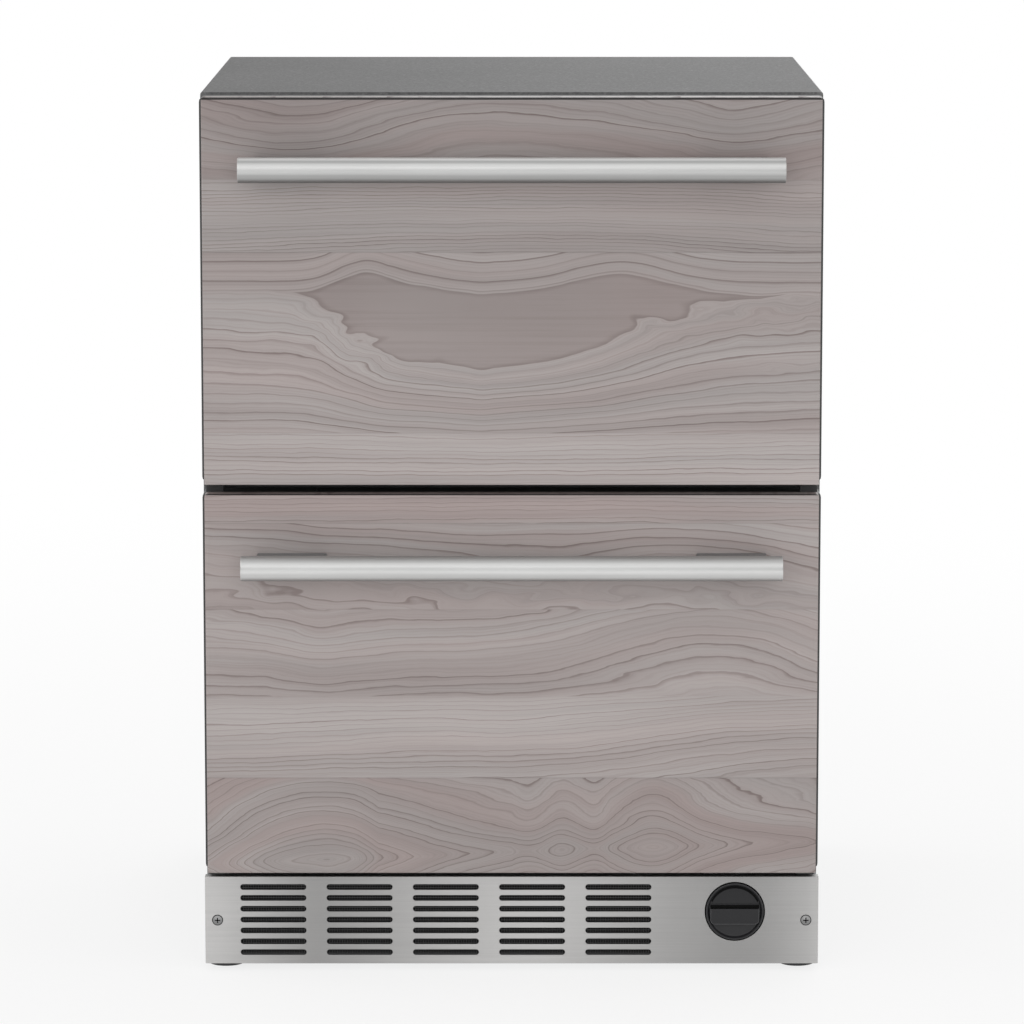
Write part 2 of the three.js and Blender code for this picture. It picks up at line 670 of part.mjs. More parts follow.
// The space of the lower compartment, whose rear floor steps up over the machine space.
function steppedCompartment(grow, front) {
  const profile = stepOutline(
    front,
    INSIDE_DEPTH + grow,
    LOWER.floor - grow,
    STEP_DEPTH + grow,
    STEP_HEIGHT - grow,
    LOWER.ceiling + grow,
    LINER_RADIUS,
  );
  const half = INSIDE_HALF + grow;
  const envelope = mouthOf(LOWER)(grow);
  return alongX(profile, -half, half).intersect(alongY(envelope, front, INSIDE_DEPTH + grow));
}

// What passes through floor and rail: the suction line, the drain and the air ducts.
function throughHoles() {
  const below = MACHINE_TOP - 2;
  const opening = (x, half, back) =>
    rectangle(x - half, x + half, INSIDE_DEPTH - DUCT.front, INSIDE_DEPTH - back, DUCT.corner);
  const duct = opening(0, DUCT.half, DUCT.back);
  const returns = [-RETURN.x, RETURN.x].map((x) => opening(x, RETURN.half, RETURN.back));
  return [
    barZ(LINE_BORE, below, STEP_HEIGHT + 1, SUCTION_X, SUCTION_Y),
    barZ(DRAIN_RADIUS, below, STEP_HEIGHT + 1, DRAIN_X, SUCTION_Y),
    ...[duct, ...returns].map((shape) => alongZ(shape, LOWER.ceiling - 1, UPPER.floor + 1)),
  ];
}

function liner(space, mouth) {
  const front = FRAME_DEPTH + CLEARANCE;
  const flange = alongY(mouth(LINER_WALL + LINER_FLANGE), front, front + LINER_WALL);
  return cut(joined(space(LINER_WALL, front), flange), space(0, front - 1), ...throughHoles());
}

function mouthOf(room) {
  return (grow) => {
    const half = INSIDE_HALF + grow;
    return rectangle(-half, half, room.floor - grow, room.ceiling + grow, LINER_RADIUS + grow);
  };
}

function faceFrame() {
  const half = HALF_WIDTH - SHEET - FLANGE - CLEARANCE;
  const top = CABINET_HEIGHT - SHEET - FLANGE - CLEARANCE;
  const outer = rectangle(-half, half, DECK_HEIGHT + SHEET, top, FRAME_CORNER);
  const plate = alongY(outer, 0, FRAME_DEPTH);
  const windows = [UPPER, LOWER].map((room) => alongY(mouthOf(room)(0), -1, FRAME_DEPTH + 1));
  return cut(plate, ...windows);
}

// Steel sheet under the insulation, folded up over the machine space.
function machineDeck() {
  const half = HALF_WIDTH - SHEET - CLEARANCE;
  const front = FRAME_DEPTH + LINER_WALL + 2 * CLEARANCE;
  const back = BACK_FACE - CLEARANCE;
  const profile = outline([
    [front, DECK_HEIGHT],
    [MACHINE_FRONT, DECK_HEIGHT],
    [MACHINE_FRONT, MACHINE_TOP],
    [back, MACHINE_TOP],
    [back, MACHINE_TOP + SHEET],
    [MACHINE_FRONT - SHEET, MACHINE_TOP + SHEET],
    [MACHINE_FRONT - SHEET, DECK_HEIGHT + SHEET],
    [front, DECK_HEIGHT + SHEET],
  ]);
  return cut(alongX(profile, -half, half), ...throughHoles().slice(0, 2));
}

// ---- Base and kick plate ----
function basePan() {
  const back = BACK_FACE - CLEARANCE;
  const sideTop = GROUND_GAP + PAN_SIDE;
  const kickTop = KICK_BOTTOM + KICK_HEIGHT - KICK_SHEET - CLEARANCE;
  const channel = outline([
    [-PAN_HALF, GROUND_GAP],
    [PAN_HALF, GROUND_GAP],
    [PAN_HALF, sideTop],
    [PAN_HALF - PAN_SHEET, sideTop],
    [PAN_HALF - PAN_SHEET, PAN_FLOOR],
    [-PAN_HALF + PAN_SHEET, PAN_FLOOR],
    [-PAN_HALF + PAN_SHEET, sideTop],
    [-PAN_HALF, sideTop],
  ]);
  const gusset = outline([
    [PAN_FRONT, GROUND_GAP],
    [-CLEARANCE - 1, GROUND_GAP],
    [-CLEARANCE - 1, kickTop, 10],
    [PAN_FRONT, kickTop],
  ]);
  const parts = [alongY(channel, PAN_FRONT, back)];
  [-1, 1].forEach((side) => {
    const [x0, x1] = [side * PAN_HALF, side * (PAN_HALF - PAN_SHEET)].sort((a, b) => a - b);
    const [t0, t1] = [side * PAN_HALF, side * (SCREW_X - TAB_WIDTH)].sort((a, b) => a - b);
    parts.push(alongX(gusset, x0, x1));
    parts.push(block(t0, t1, PAN_FRONT, PAN_FRONT + PAN_SHEET, GROUND_GAP, kickTop));
  });
  const lipTop = GROUND_GAP + PAN_BACK;
  parts.push(block(-PAN_HALF, PAN_HALF, back - PAN_SHEET, back, GROUND_GAP, lipTop));
  legPlaces().forEach(({ x, y }) => {
    parts.push(barZ(STEM_RADIUS + BOSS_WALL, GROUND_GAP, PAN_FLOOR + BOSS_HEIGHT, x, y));
  });
  const holes = legPlaces().map(({ x, y }) => barZ(STEM_RADIUS + CLEARANCE, 0, STEM_TOP, x, y));
  const screws = [-1, 1].map((side) =>
    barY(SCREW_HOLE, PAN_FRONT - 1, PAN_FRONT + PAN_SHEET + 1, side * SCREW_X, KICK_MIDDLE, 8),
  );
  return cut(joined(...parts), ...holes, ...screws);
}

function legPlaces() {
  return [
    { name: "leg_front_left", x: -LEG_X, y: FRONT_LEG_Y },
    { name: "leg_front_right", x: LEG_X, y: FRONT_LEG_Y },
    { name: "leg_rear_left", x: -LEG_X, y: REAR_LEG_Y },
    { name: "leg_rear_right", x: LEG_X, y: REAR_LEG_Y },
  ];
}

function levellingLeg() {
  return turnedZ(
    [
      [0, 0],
      [FOOT_RADIUS - 1, 0],
      [FOOT_RADIUS, 1],
      [FOOT_RADIUS, FOOT_HEIGHT - 1],
      [FOOT_RADIUS - 5, FOOT_HEIGHT],
      [STEM_RADIUS + 3, GROUND_GAP - CLEARANCE],
      [STEM_RADIUS, GROUND_GAP - CLEARANCE],
      [STEM_RADIUS, STEM_TOP - 1],
      [STEM_RADIUS - 1, STEM_TOP],
      [0, STEM_TOP],
    ],
    0,
    0,
    SMALL_ROUND_SIDES,
  );
}

// Folded steel front of the base, punched with rows of louvres and the hole of the filter cap.
function kickPlate() {
  const top = KICK_BOTTOM + KICK_HEIGHT;
  const front = -KICK_AHEAD;
  const plan = outline([
    [-HALF_WIDTH, front, KICK_SHEET],
    [HALF_WIDTH, front, KICK_SHEET],
    [HALF_WIDTH, front + KICK_RETURN],
    [-HALF_WIDTH, front + KICK_RETURN],
  ]);
  const skin = alongZ(plan, KICK_BOTTOM, top);
  const hollow = block(
    -HALF_WIDTH + KICK_SHEET,
    HALF_WIDTH - KICK_SHEET,
    front + KICK_SHEET,
    front + KICK_RETURN + 1,
    KICK_BOTTOM - 1,
    top - KICK_SHEET,
  );
  const through = [front - 1, front + KICK_SHEET + 1];
  const middleRow = KICK_MIDDLE + LOUVRE_RAISE;
  const firstRow = middleRow - ((LOUVRE_ROWS - 1) / 2) * LOUVRE_ROW_PITCH;
  const holes = [];
  for (let column = 0; column < LOUVRE_COLUMNS; column += 1) {
    for (let row = 0; row < LOUVRE_ROWS; row += 1) {
      const x = FIRST_LOUVRE + column * LOUVRE_COLUMN_PITCH;
      const z = firstRow + row * LOUVRE_ROW_PITCH;
      holes.push(alongY(slot(x, z, LOUVRE_LENGTH, LOUVRE_HEIGHT), ...through));
    }
  }
  holes.push(barY(CAP_RADIUS + CAP_HOLE_GAP, ...through, FILTER_X, FILTER_Z, DISC_SIDES));
  [-1, 1].forEach((side) => {
    holes.push(barY(SCREW_HOLE, ...through, side * SCREW_X, KICK_MIDDLE, 8));
  });
  return cut(skin, hollow, ...holes);
}

// ---- Water filter ----
function filterCap() {
  const face = -KICK_AHEAD - CAP_PROUD;
  const floor = face + CAP_RECESS;
  const skirt = face + CAP_DEPTH;
  const mouth = -CARTRIDGE_AHEAD - CLEARANCE;
  const hub = BAYONET_RADIUS + CLEARANCE + 3;
  const bore = BAYONET_RADIUS + CLEARANCE;
  const profile = [
    [0, floor],
    [CAP_RADIUS - CAP_RIM - 1, floor],
    [CAP_RADIUS - CAP_RIM, face + 1],
    [CAP_RADIUS - CAP_RIM + 0.6, face],
    [CAP_RADIUS - 0.8, face],
    [CAP_RADIUS, face + 0.8],
    [CAP_RADIUS, skirt],
    [CAP_RADIUS - CAP_WALL, skirt],
    [CAP_RADIUS - CAP_WALL, floor + 2.5],
    [hub, floor + 2.5],
    [hub, mouth],
    [bore, mouth],
    [bore, floor + 4],
    [0, floor + 4],
  ];
  const grip = rectangle(
    -GRIP_WIDTH / 2,
    GRIP_WIDTH / 2,
    -GRIP_DROP - GRIP_HEIGHT / 2,
    -GRIP_DROP + GRIP_HEIGHT / 2,
    GRIP_CORNER,
  );
  const disc = turnedY(profile, 0, 0, DISC_SIDES);
  return joined(disc, alongY(grip, face + 0.2, floor + 1, 0.6)).translate([FILTER_X, 0, FILTER_Z]);
}

function filterCartridge() {
  const front = -CARTRIDGE_AHEAD;
  const back = front + CARTRIDGE_LENGTH;
  return turnedY(
    [
      [0, front - BAYONET_LENGTH],
      [BAYONET_RADIUS, front - BAYONET_LENGTH],
      [BAYONET_RADIUS, front],
      [CARTRIDGE_RADIUS - 4, front],
      [CARTRIDGE_RADIUS, front + 4],
      [CARTRIDGE_RADIUS, back - 12],
      [CARTRIDGE_RADIUS - 6, back - 3],
      [NECK_RADIUS, back],
      [NECK_RADIUS, back + NECK_LENGTH],
      [0, back + NECK_LENGTH],
    ],
    FILTER_X,
    FILTER_Z,
    ROUND_SIDES,
  );
}

// Head that the cartridge plugs into, with the trough that guides it.
function filterHead() {
  const back = -CARTRIDGE_AHEAD + CARTRIDGE_LENGTH;
  const inner = CARTRIDGE_RADIUS + GUIDE_GAP;
  const outer = inner + GUIDE_WALL;
  const end = back + NECK_LENGTH + HEAD_LENGTH;
  const ports = end - 12;
  const gutter = new THREE.Shape();
  gutter.absarc(FILTER_X, FILTER_Z, outer, Math.PI * 1.08, Math.PI * 1.92);
  gutter.absarc(FILTER_X, FILTER_Z, inner, Math.PI * 1.92, Math.PI * 1.08, true);
  gutter.closePath();
  const foot = outline([
    [FILTER_X - HEAD_FOOT, PAN_FLOOR + CLEARANCE],
    [FILTER_X + HEAD_FOOT, PAN_FLOOR + CLEARANCE],
    [FILTER_X + HEAD_FOOT, PAN_FLOOR + 3],
    [FILTER_X + 8, FILTER_Z - inner - 1],
    [FILTER_X - 8, FILTER_Z - inner - 1],
    [FILTER_X - HEAD_FOOT, PAN_FLOOR + 3],
  ]);
  const headFoot = outline([
    [FILTER_X - HEAD_FOOT, PAN_FLOOR + CLEARANCE],
    [FILTER_X + HEAD_FOOT, PAN_FLOOR + CLEARANCE],
    [FILTER_X + 12, FILTER_Z - 10],
    [FILTER_X - 12, FILTER_Z - 10],
  ]);
  const body = joined(
    barY(outer, back + CLEARANCE, end, FILTER_X, FILTER_Z, ROUND_SIDES),
    barX(PORT_RADIUS, FILTER_X - PORT_REACH, FILTER_X + PORT_REACH, ports, FILTER_Z),
    alongY(headFoot, back + 4, end - 4),
    alongY(gutter, 30, back + 1),
    alongY(foot, 34, 46),
  );
  const seat = back + NECK_LENGTH + CLEARANCE;
  const socket = barY(NECK_RADIUS + CLEARANCE, back, seat, FILTER_X, FILTER_Z, ROUND_SIDES);
  const throat = barY(3, back, end - 6, FILTER_X, FILTER_Z, 8);
  return cut(body, socket, throat);
}

function waterValve() {
  const { half, bottom, top, spigot, bore, z } = VALVE;
  const [x, y, back] = [VALVE_X, VALVE_Y, CABINET_DEPTH - 2 * CLEARANCE];
  const coil = VALVE_COIL;
  const foot = VALVE_FOOT;
  const profile = outline([
    [y - foot.half, PAN_FLOOR + CLEARANCE],
    [y + foot.half, PAN_FLOOR + CLEARANCE],
    [y + foot.half, PAN_FLOOR + 3],
    [y + foot.waist, foot.top],
    [y - foot.waist, foot.top],
    [y - foot.half, PAN_FLOOR + 3],
  ]);
  const whole = joined(
    alongZ(rectangle(x - half, x + half, y - half, y + half, 5), bottom, top),
    barX(coil.radius, x - coil.to, x - coil.from, y, coil.z, ROUND_SIDES),
    barY(spigot, y, back, x, z),
    barY(bore, y - 34, y, x, z),
    alongX(profile, x - foot.waist, x + foot.waist),
  );
  return cut(whole, barY(bore, back - half, back + 1, x, z));
}

// ---- Cold circuit ----
// A finned block: fins stand out of a core on both sides, and hairpin bends join its tubes.
function finnedCoil({ x0, x1, y0, y1, z0, z1, fins }) {
  const pitch = (x1 - x0 - FIN_SHEET) / (fins - 1);
  const middle = (y0 + y1) / 2;
  const front = [];
  const rear = [];
  for (let i = 0; i < fins; i += 1) {
    const x = x0 + i * pitch;
    const end = x + FIN_SHEET;
    front.push([x, middle - COIL_CORE], [x, y0], [end, y0], [end, middle - COIL_CORE]);
    rear.push([x, middle + COIL_CORE], [x, y1], [end, y1], [end, middle + COIL_CORE]);
  }
  const comb = outline([...front.slice(1, -1), ...rear.slice(1, -1).reverse()]);
  const coil = [alongZ(comb, z0, z1)];
  const rise = (z1 - z0) / (2 * COIL_BENDS);
  [-1, 1].forEach((side) => {
    for (let i = 0; i < COIL_BENDS; i += 1) {
      const z = z0 + rise * (2 * i + 1);
      coil.push(hairpin(side > 0 ? x1 : x0, side, middle, z, rise / 2));
    }
  });
  return joined(...coil);
}

function hairpin(x, side, y, z, radius) {
  const points = [[x - side * 3, y, z - radius]];
  for (let i = 0; i <= 3; i += 1) {
    const angle = -Math.PI / 2 + (Math.PI * i) / 3;
    const out = 3 + COIL_REACH * Math.cos(angle);
    points.push([x + side * out, y, z + radius * Math.sin(angle)]);
  }
  points.push([x - side * 3, y, z + radius]);
  return pipe(points, COIL_TUBE, 5, 5);
}

function condenser() {
  const { x0, x1, y0, y1, z0 } = CONDENSER;
  const { x, y, z } = CONDENSER_STUB;
  const stub = barY(LINE_RADIUS, (y0 + y1) / 2, y, x, z, 8);
  const feet = [x0 + CONDENSER_FOOT, x1 - CONDENSER_FOOT].map((middle) =>
    block(middle - 12, middle + 12, y0 + 4, y1 - 4, PAN_FLOOR + CLEARANCE, z0 + 3),
  );
  return joined(finnedCoil(CONDENSER), stub, ...feet);
}

function evaporator() {
  const { x0, x1, y0, y1, z0 } = EVAPORATOR;
  const stub = barX(LINE_RADIUS, SUCTION_END, x0 + 5, SUCTION_Y, SUCTION_RISE, 8);
  const feet = [x0 + EVAPORATOR_FOOT, x1 - EVAPORATOR_FOOT].map((x) =>
    block(x - 8, x + 8, y0 + 4, y1 - 10, STEP_HEIGHT + CLEARANCE, z0 + 3),
  );
  return joined(finnedCoil(EVAPORATOR), stub, ...feet);
}

// Hermetic pot on a mounting plate with rubber mounts, terminal box and pipe stubs.
function compressor() {
  const seam = (COMPRESSOR_FLOOR + COMPRESSOR_TOP) / 2 + 10;
  const r = COMPRESSOR_RADIUS;
  const bottom = COMPRESSOR_FLOOR + 6;
  const profile = turned(
    [
      [0, bottom],
      [r * 0.62, bottom],
      [r * 0.88, bottom + 12],
      [r * 0.97, bottom + 32],
      [r * 0.97, seam - 3],
      [r, seam - 3],
      [r, seam + 3],
      [r * 0.97, seam + 3],
      [r * 0.95, COMPRESSOR_TOP - 34],
      [r * 0.8, COMPRESSOR_TOP - 13],
      [r * 0.5, COMPRESSOR_TOP - 3],
      [0, COMPRESSOR_TOP],
    ],
    ROUND_SIDES,
  );
  const place = [COMPRESSOR_X, COMPRESSOR_Y, 0];
  const pot = solid(profile.rotateX(Math.PI / 2).scale(1, COMPRESSOR_NARROW, 1).translate(...place));
  const [x, y] = [COMPRESSOR_X, COMPRESSOR_Y];
  const { halfX, halfY, corner, thick } = COMPRESSOR_PLATE;
  const plateShape = rectangle(x - halfX, x + halfX, y - halfY, y + halfY, corner);
  const plate = alongZ(plateShape, COMPRESSOR_FLOOR, COMPRESSOR_FLOOR + thick);
  const mount = COMPRESSOR_MOUNT;
  const mounts = [-1, 1].flatMap((i) =>
    [-1, 1].map((j) =>
      barZ(mount.radius, PAN_FLOOR + CLEARANCE, bottom + 6, x + mount.x * i, y + mount.y * j),
    ),
  );
  const { half, below, above, reach } = TERMINAL_BOX;
  const boxShape = rectangle(y - half, y + half, seam - below, seam - above, 6);
  const box = alongX(boxShape, x + r * 0.7, x + r + reach);
  const [inlet, outlet] = [SUCTION_STUB, DISCHARGE_STUB];
  const suction = barX(STUB_RADIUS, inlet.x, x, inlet.y, inlet.z, 8);
  const discharge = barY(STUB_RADIUS, outlet.y, y, outlet.x, outlet.z, 8);
  return joined(pot, plate, ...mounts, box, suction, discharge);
}

function dischargeLine() {
  const start = DISCHARGE_STUB;
  const end = CONDENSER_STUB;
  return pipe(
    [
      [start.x, start.y - CLEARANCE, start.z],
      [start.x, start.y - 15, start.z],
      [start.x - 2, start.y - 35, start.z - 3],
      [start.x - 20, start.y - 105, start.z - 18],
      [end.x + 11, end.y + 80, end.z + 3],
      [end.x, end.y + 30, end.z],
      [end.x, end.y + CLEARANCE, end.z],
    ],
    LINE_RADIUS,
    16,
  );
}

function suctionLine() {
  const end = SUCTION_END - CLEARANCE;
  const rise = SUCTION_RISE;
  const start = SUCTION_STUB;
  return pipe(
    [
      [start.x - CLEARANCE, start.y, start.z],
      [start.x - 8, start.y, start.z],
      [SUCTION_X + 3, start.y + 4, start.z + 12],
      [SUCTION_X, start.y + 12, start.z + 45],
      [SUCTION_X, SUCTION_Y, start.z + 100],
      [SUCTION_X, SUCTION_Y, MACHINE_TOP],
      [SUCTION_X, SUCTION_Y, STEP_HEIGHT],
      [SUCTION_X + 1, SUCTION_Y, rise - 12],
      [SUCTION_X + 9, SUCTION_Y, rise - 1],
      [end, SUCTION_Y, rise],
    ],
    LINE_RADIUS,
    24,
  );
}

// Tray that catches the melt water, on top of the warm compressor.
function drainPan() {
  const { left, right, front, back, height } = DRAIN_TRAY;
  const bottom = COMPRESSOR_TOP + CLEARANCE;
  const top = bottom + height;
  const plan = (grow) =>
    rectangle(
      COMPRESSOR_X - left - grow,
      COMPRESSOR_X + right + grow,
      MACHINE_FRONT + front - grow,
      BACK_FACE - back + grow,
      DRAIN_TRAY_CORNER + grow,
    );
  const rim = alongZ(plan(DRAIN_TRAY_RIM), top - DRAIN_TRAY_WALL, top);
  const inner = alongZ(plan(-DRAIN_TRAY_WALL), bottom + DRAIN_TRAY_WALL, top + 1);
  return cut(joined(alongZ(plan(0), bottom, top), rim), inner);
}

// ---- Fans ----
// Pitched blades round a hub, its bore running on the motor's shaft.
function fanRotor({ x, z, radius, front, blades, hub }) {
  const back = front + FAN_DEPTH;
  const parts = [
    turnedY(
      [
        [0, front],
        [hub - 3, front],
        [hub, front + 3],
        [hub, back],
        [0, back],
      ],
      0,
      0,
      SMALL_ROUND_SIDES,
    ),
  ];
  for (let i = 0; i < blades; i += 1) {
    const blade = outline([
      [hub - 3, -0.34 * hub],
      [radius * 0.55, -0.34 * radius],
      [radius * 0.93, -0.36 * radius],
      [radius, -0.12 * radius],
      [radius * 0.98, 0.18 * radius],
      [radius * 0.6, 0.27 * radius],
      [hub - 3, 0.34 * hub],
    ]);
    const plate = extruded(blade, BLADE_SHEET).translate(0, 0, -BLADE_SHEET / 2);
    const pitched = plate.rotateX(BLADE_PITCH).applyMatrix4(ALONG_Y);
    pitched.rotateY((2 * Math.PI * i) / blades);
    parts.push(solid(pitched.translate(0, (front + back) / 2, 0)));
  }
  const bore = barY(SHAFT_RADIUS + CLEARANCE, front + 5, back + 1, 0, 0, 10);
  return cut(joined(...parts), bore).translate([x, 0, z]);
}

// Motor drum on three arms behind a fan, with the shaft that carries it.
function fanMotor({ x, z, radius, front, hub }, armBack) {
  const back = front + FAN_DEPTH + CLEARANCE;
  const drum = barY(hub, back, back + FAN_MOTOR, 0, 0, ROUND_SIDES);
  const shaft = barY(SHAFT_RADIUS, front + 6, back + 1, 0, 0, 10);
  const arms = [0, 1, 2].map((i) => {
    const arm = alongX(rectangle(back + 1, armBack, -3, 3), hub - 2, radius + FAN_TIP_GAP + 3);
    return arm.rotate([0, 120 * i + 30, 0]);
  });
  return joined(drum, shaft, ...arms).translate([x, 0, z]);
}

function condenserFanFrame() {
  const { x, z, radius, front } = CONDENSER_FAN;
  const reach = radius + FAN_TIP_GAP;
  const bottom = PAN_FLOOR + CLEARANCE;
  const back = front + FAN_DEPTH + 10;
  const half = radius + FAN_FRAME_MARGIN;
  const plate = alongY(rectangle(x - half, x + half, bottom, z + half, 8), front - 2, front + 1);
  const ring = barY(reach + 3, front - 2, back, x, z, DISC_SIDES);
  const foot = block(x - half, x + half, front - 2, front + 26, bottom, bottom + 3);
  const mouth = barY(reach, front - 3, back + 1, x, z, DISC_SIDES);
  return joined(cut(joined(plate, ring, foot), mouth), fanMotor(CONDENSER_FAN, back));
}

// Moulded cover in front of the coil: fan mouth, its motor behind, and return slots below.
function evaporatorCover() {
  const { x, z, radius } = EVAPORATOR_FAN;
  const { depth, wall, corner } = COVER;
  const { count, pitch, length, height, rise } = COVER_SLOTS;
  const half = INSIDE_HALF - LINER_RADIUS / 2;
  const [low, high] = [STEP_HEIGHT + CLEARANCE, LOWER.ceiling - CLEARANCE];
  const edge = COVER_FACE + depth;
  const reach = radius + FAN_TIP_GAP;
  const shape = (by) => rectangle(by - half, half - by, low + by, high - by, corner - by);
  const shell = alongY(shape(0), COVER_FACE, edge);
  const hollow = alongY(shape(wall), COVER_FACE + wall, edge + 1);
  const ring = barY(reach + wall, COVER_FACE, edge + 3, x, z, ROUND_SIDES);
  const mouth = barY(reach, COVER_FACE - 1, edge + 4, x, z, ROUND_SIDES);
  const returns = [];
  for (let i = 0; i < count; i += 1) {
    const along = pitch * (i - (count - 1) / 2) - length / 3;
    const shaped = slot(along, low + rise, length, height);
    returns.push(alongY(shaped, COVER_FACE - 1, COVER_FACE + wall + 1));
  }
  const cover = cut(joined(cut(shell, hollow), ring), mouth, ...returns);
  return joined(cover, fanMotor(EVAPORATOR_FAN, edge + 3));
}

// Riser on the upper compartment's back wall, over the duct in the rail.
function airDuct() {
  const { half, depth, over, slots, pitch, length, height } = RISER;
  const wall = COVER.wall;
  const back = INSIDE_DEPTH - CLEARANCE;
  const front = INSIDE_DEPTH - depth;
  const bottom = UPPER.floor + CLEARANCE;
  const top = UPPER.ceiling - over;
  const shell = alongZ(rectangle(-half, half, front, back, 5), bottom, top);
  const hollow = block(wall - half, half - wall, front + wall, back + 1, bottom - 1, top - wall);
  const outlets = [];
  for (let i = 0; i < slots; i += 1) {
    const z = top - 50 - pitch * i;
    outlets.push(alongY(slot(0, z, length, height), front - 1, front + wall + 1));
  }
  return cut(shell, hollow, ...outlets);
}

// ---- Inside fittings ----
function controlPanel() {
  const { half, front, depth, slope, drop, lip } = CONTROL;
  const top = UPPER.ceiling - CLEARANCE;
  const profile = outline([
    [front, top],
    [front, top - lip, 2],
    [front + slope, top - drop, 3],
    [front + depth, top - drop, 3],
    [front + depth, top],
  ]);
  return alongX(profile, -half, half);
}

function lightBar() {
  const { half, front, depth, slope, drop, lip } = LIGHT;
  const top = UPPER.ceiling - CLEARANCE;
  const lens = outline([
    [front, top],
    [front, top - lip, 3],
    [front + slope, top - drop, 4],
    [front + depth - slope, top - drop, 4],
    [front + depth, top - lip, 3],
    [front + depth, top],
  ]);
  return alongX(lens, -half, half);
}

// Ice mould under the lower compartment's ceiling: a row of cups beside its drive housing.
function iceMaker() {
  const { x0, x1, depth, gap, rim, drop, cups, pitch, cup } = ICE;
  const top = LOWER.ceiling - CLEARANCE;
  const [y0, y1] = [COVER_FACE - gap - depth, COVER_FACE - gap];
  const trough = (inset, lift, floor, radius) =>
    outline([
      [y0 + inset, top - rim + lift],
      [y0 + inset + 6 + lift * 4, top - floor, radius],
      [y1 - inset - 6 - lift * 4, top - floor, radius],
      [y1 - inset, top - rim + lift],
    ]);
  const tray = alongX(trough(0, 0, drop, 16), x0, x1);
  const over = ICE_DRIVE.over;
  const driveShape = rectangle(y0 - over, y1 + over, top - ICE_DRIVE.drop, top, ICE_DRIVE.corner);
  const drive = alongX(driveShape, x1 - 2, x1 - 2 + ICE_DRIVE.width);
  const hangers = [x0 + 5, x0 + 50].map((x) => block(x, x + 8, y1 - 10, y1, top - rim - 6, top));
  const hollows = [];
  for (let i = 0; i < cups; i += 1) {
    const x = x0 + 7 + pitch * i;
    hollows.push(alongX(trough(6, 1, drop - 4, 14), x, x + cup));
  }
  return joined(cut(tray, ...hollows), drive, ...hangers);
}

// ---- Runners ----
// Sections drawn for the right side: [distance from the wall, height], mirrored top to bottom.
function runnerSection(points, side) {
  const wall = INSIDE_HALF - CLEARANCE;
  const whole = [...points, ...points.map(([u, v]) => [u, -v]).reverse()];
  return outline(whole.map(([u, v]) => [side * (wall - u), v]));
}

function cabinetMember(side) {
  const half = RUNNER_HEIGHT / 2;
  const sheet = RUNNER_SHEET;
  return runnerSection(
    [
      [sheet, half - sheet - 1],
      [sheet + 1, half - sheet],
      [8.7, half - sheet],
      [8.7, half - 3.6],
      [10, half - 3.6],
      [10, half - 1],
      [9, half],
      [1, half],
      [0, half - 1],
    ],
    side,
  );
}

function middleMember(side) {
  const race = RUNNER_HEIGHT / 2 - RUNNER_SHEET - CLEARANCE;
  const web = 5.4;
  return runnerSection(
    [
      [web, race - 3.6],
      [2.6, race - 3.2],
      [2.6, race - 1],
      [3.6, race],
      [7.4, race],
      [8.3, race - 1],
      [8.3, race - 3.4],
      [11.6, race - 3.4],
      [11.6, race - 4.7],
      [web + RUNNER_SHEET, race - 4.7],
    ],
    side,
  );
}

function drawerMember(side) {
  const race = RUNNER_HEIGHT / 2 - RUNNER_SHEET - 2 * CLEARANCE - 4.7;
  const back = RUNNER_WIDTH;
  return runnerSection(
    [
      [back - RUNNER_SHEET, race - 3.8],
      [7.4, race - 3.8],
      [7.4, race - 1],
      [8.4, race],
      [back - 1, race],
      [back, race - 1],
    ],
    side,
  );
}

function runner(section, y0, length) {
  return alongY(section, y0, y0 + length);
}

// ---- Drawer ----
function doorPan(height) {
  const half = DOOR_WIDTH / 2;
  const [low, high] = [DOOR_REVEAL, height - DOOR_REVEAL];
  const back = -SEAL_SPACE;
  const skin = alongY(rectangle(-half, half, low, high, DOOR_CORNER), DOOR_FRONT, back);
  const inset = (by, radius) => rectangle(-half + by, half - by, low + by, high - by, radius);
  return cut(
    skin,
    alongY(inset(SHEET, DOOR_CORNER - SHEET), DOOR_FRONT + SHEET, back - SHEET),
    alongY(inset(SHEET + DOOR_LIP, LIP_CORNER), back - SHEET - 1, back + 1),
  );
}

// Foam-filled inner skin of the front, with the groove of the seal and the dyke it surrounds.
function doorLiner(height, room) {
  const half = DOOR_WIDTH / 2;
  const [low, high] = [DOOR_REVEAL, height - DOOR_REVEAL];
  const back = -SEAL_SPACE;
  const inset = (by, radius) => rectangle(-half + by, half - by, low + by, high - by, radius);
  const fill = alongY(
    inset(SHEET + CLEARANCE, DOOR_CORNER - SHEET),
    DOOR_FRONT + SHEET + CLEARANCE,
    back - SHEET - CLEARANCE,
  );
  const neck = alongY(inset(SHEET + DOOR_LIP + CLEARANCE, LIP_CORNER), back - SHEET - 1, back);
  const dykeHalf = INSIDE_HALF - DYKE_CLEARANCE;
  const [dykeLow, dykeHigh] = [room.floor + DYKE_CLEARANCE, room.ceiling - DYKE_CLEARANCE];
  const dykeShape = rectangle(-dykeHalf, dykeHalf, dykeLow, dykeHigh, DYKE_CORNER);
  const dyke = alongY(dykeShape, back - DYKE_BEVEL - 1, DYKE_DEPTH, DYKE_BEVEL);
  const [near, far] = [SEAL_WIDTH / 2 - GROOVE_HALF, SEAL_WIDTH / 2 + GROOVE_HALF];
  const grooveEnd = back - SEAL_DART - CLEARANCE;
  const groove = mitredRing(
    [
      [near, back + 1],
      [far, back + 1],
      [far, grooveEnd],
      [near, grooveEnd],
    ],
    ...sealPlace(room),
  );
  return cut(joined(fill, neck, dyke), groove);
}

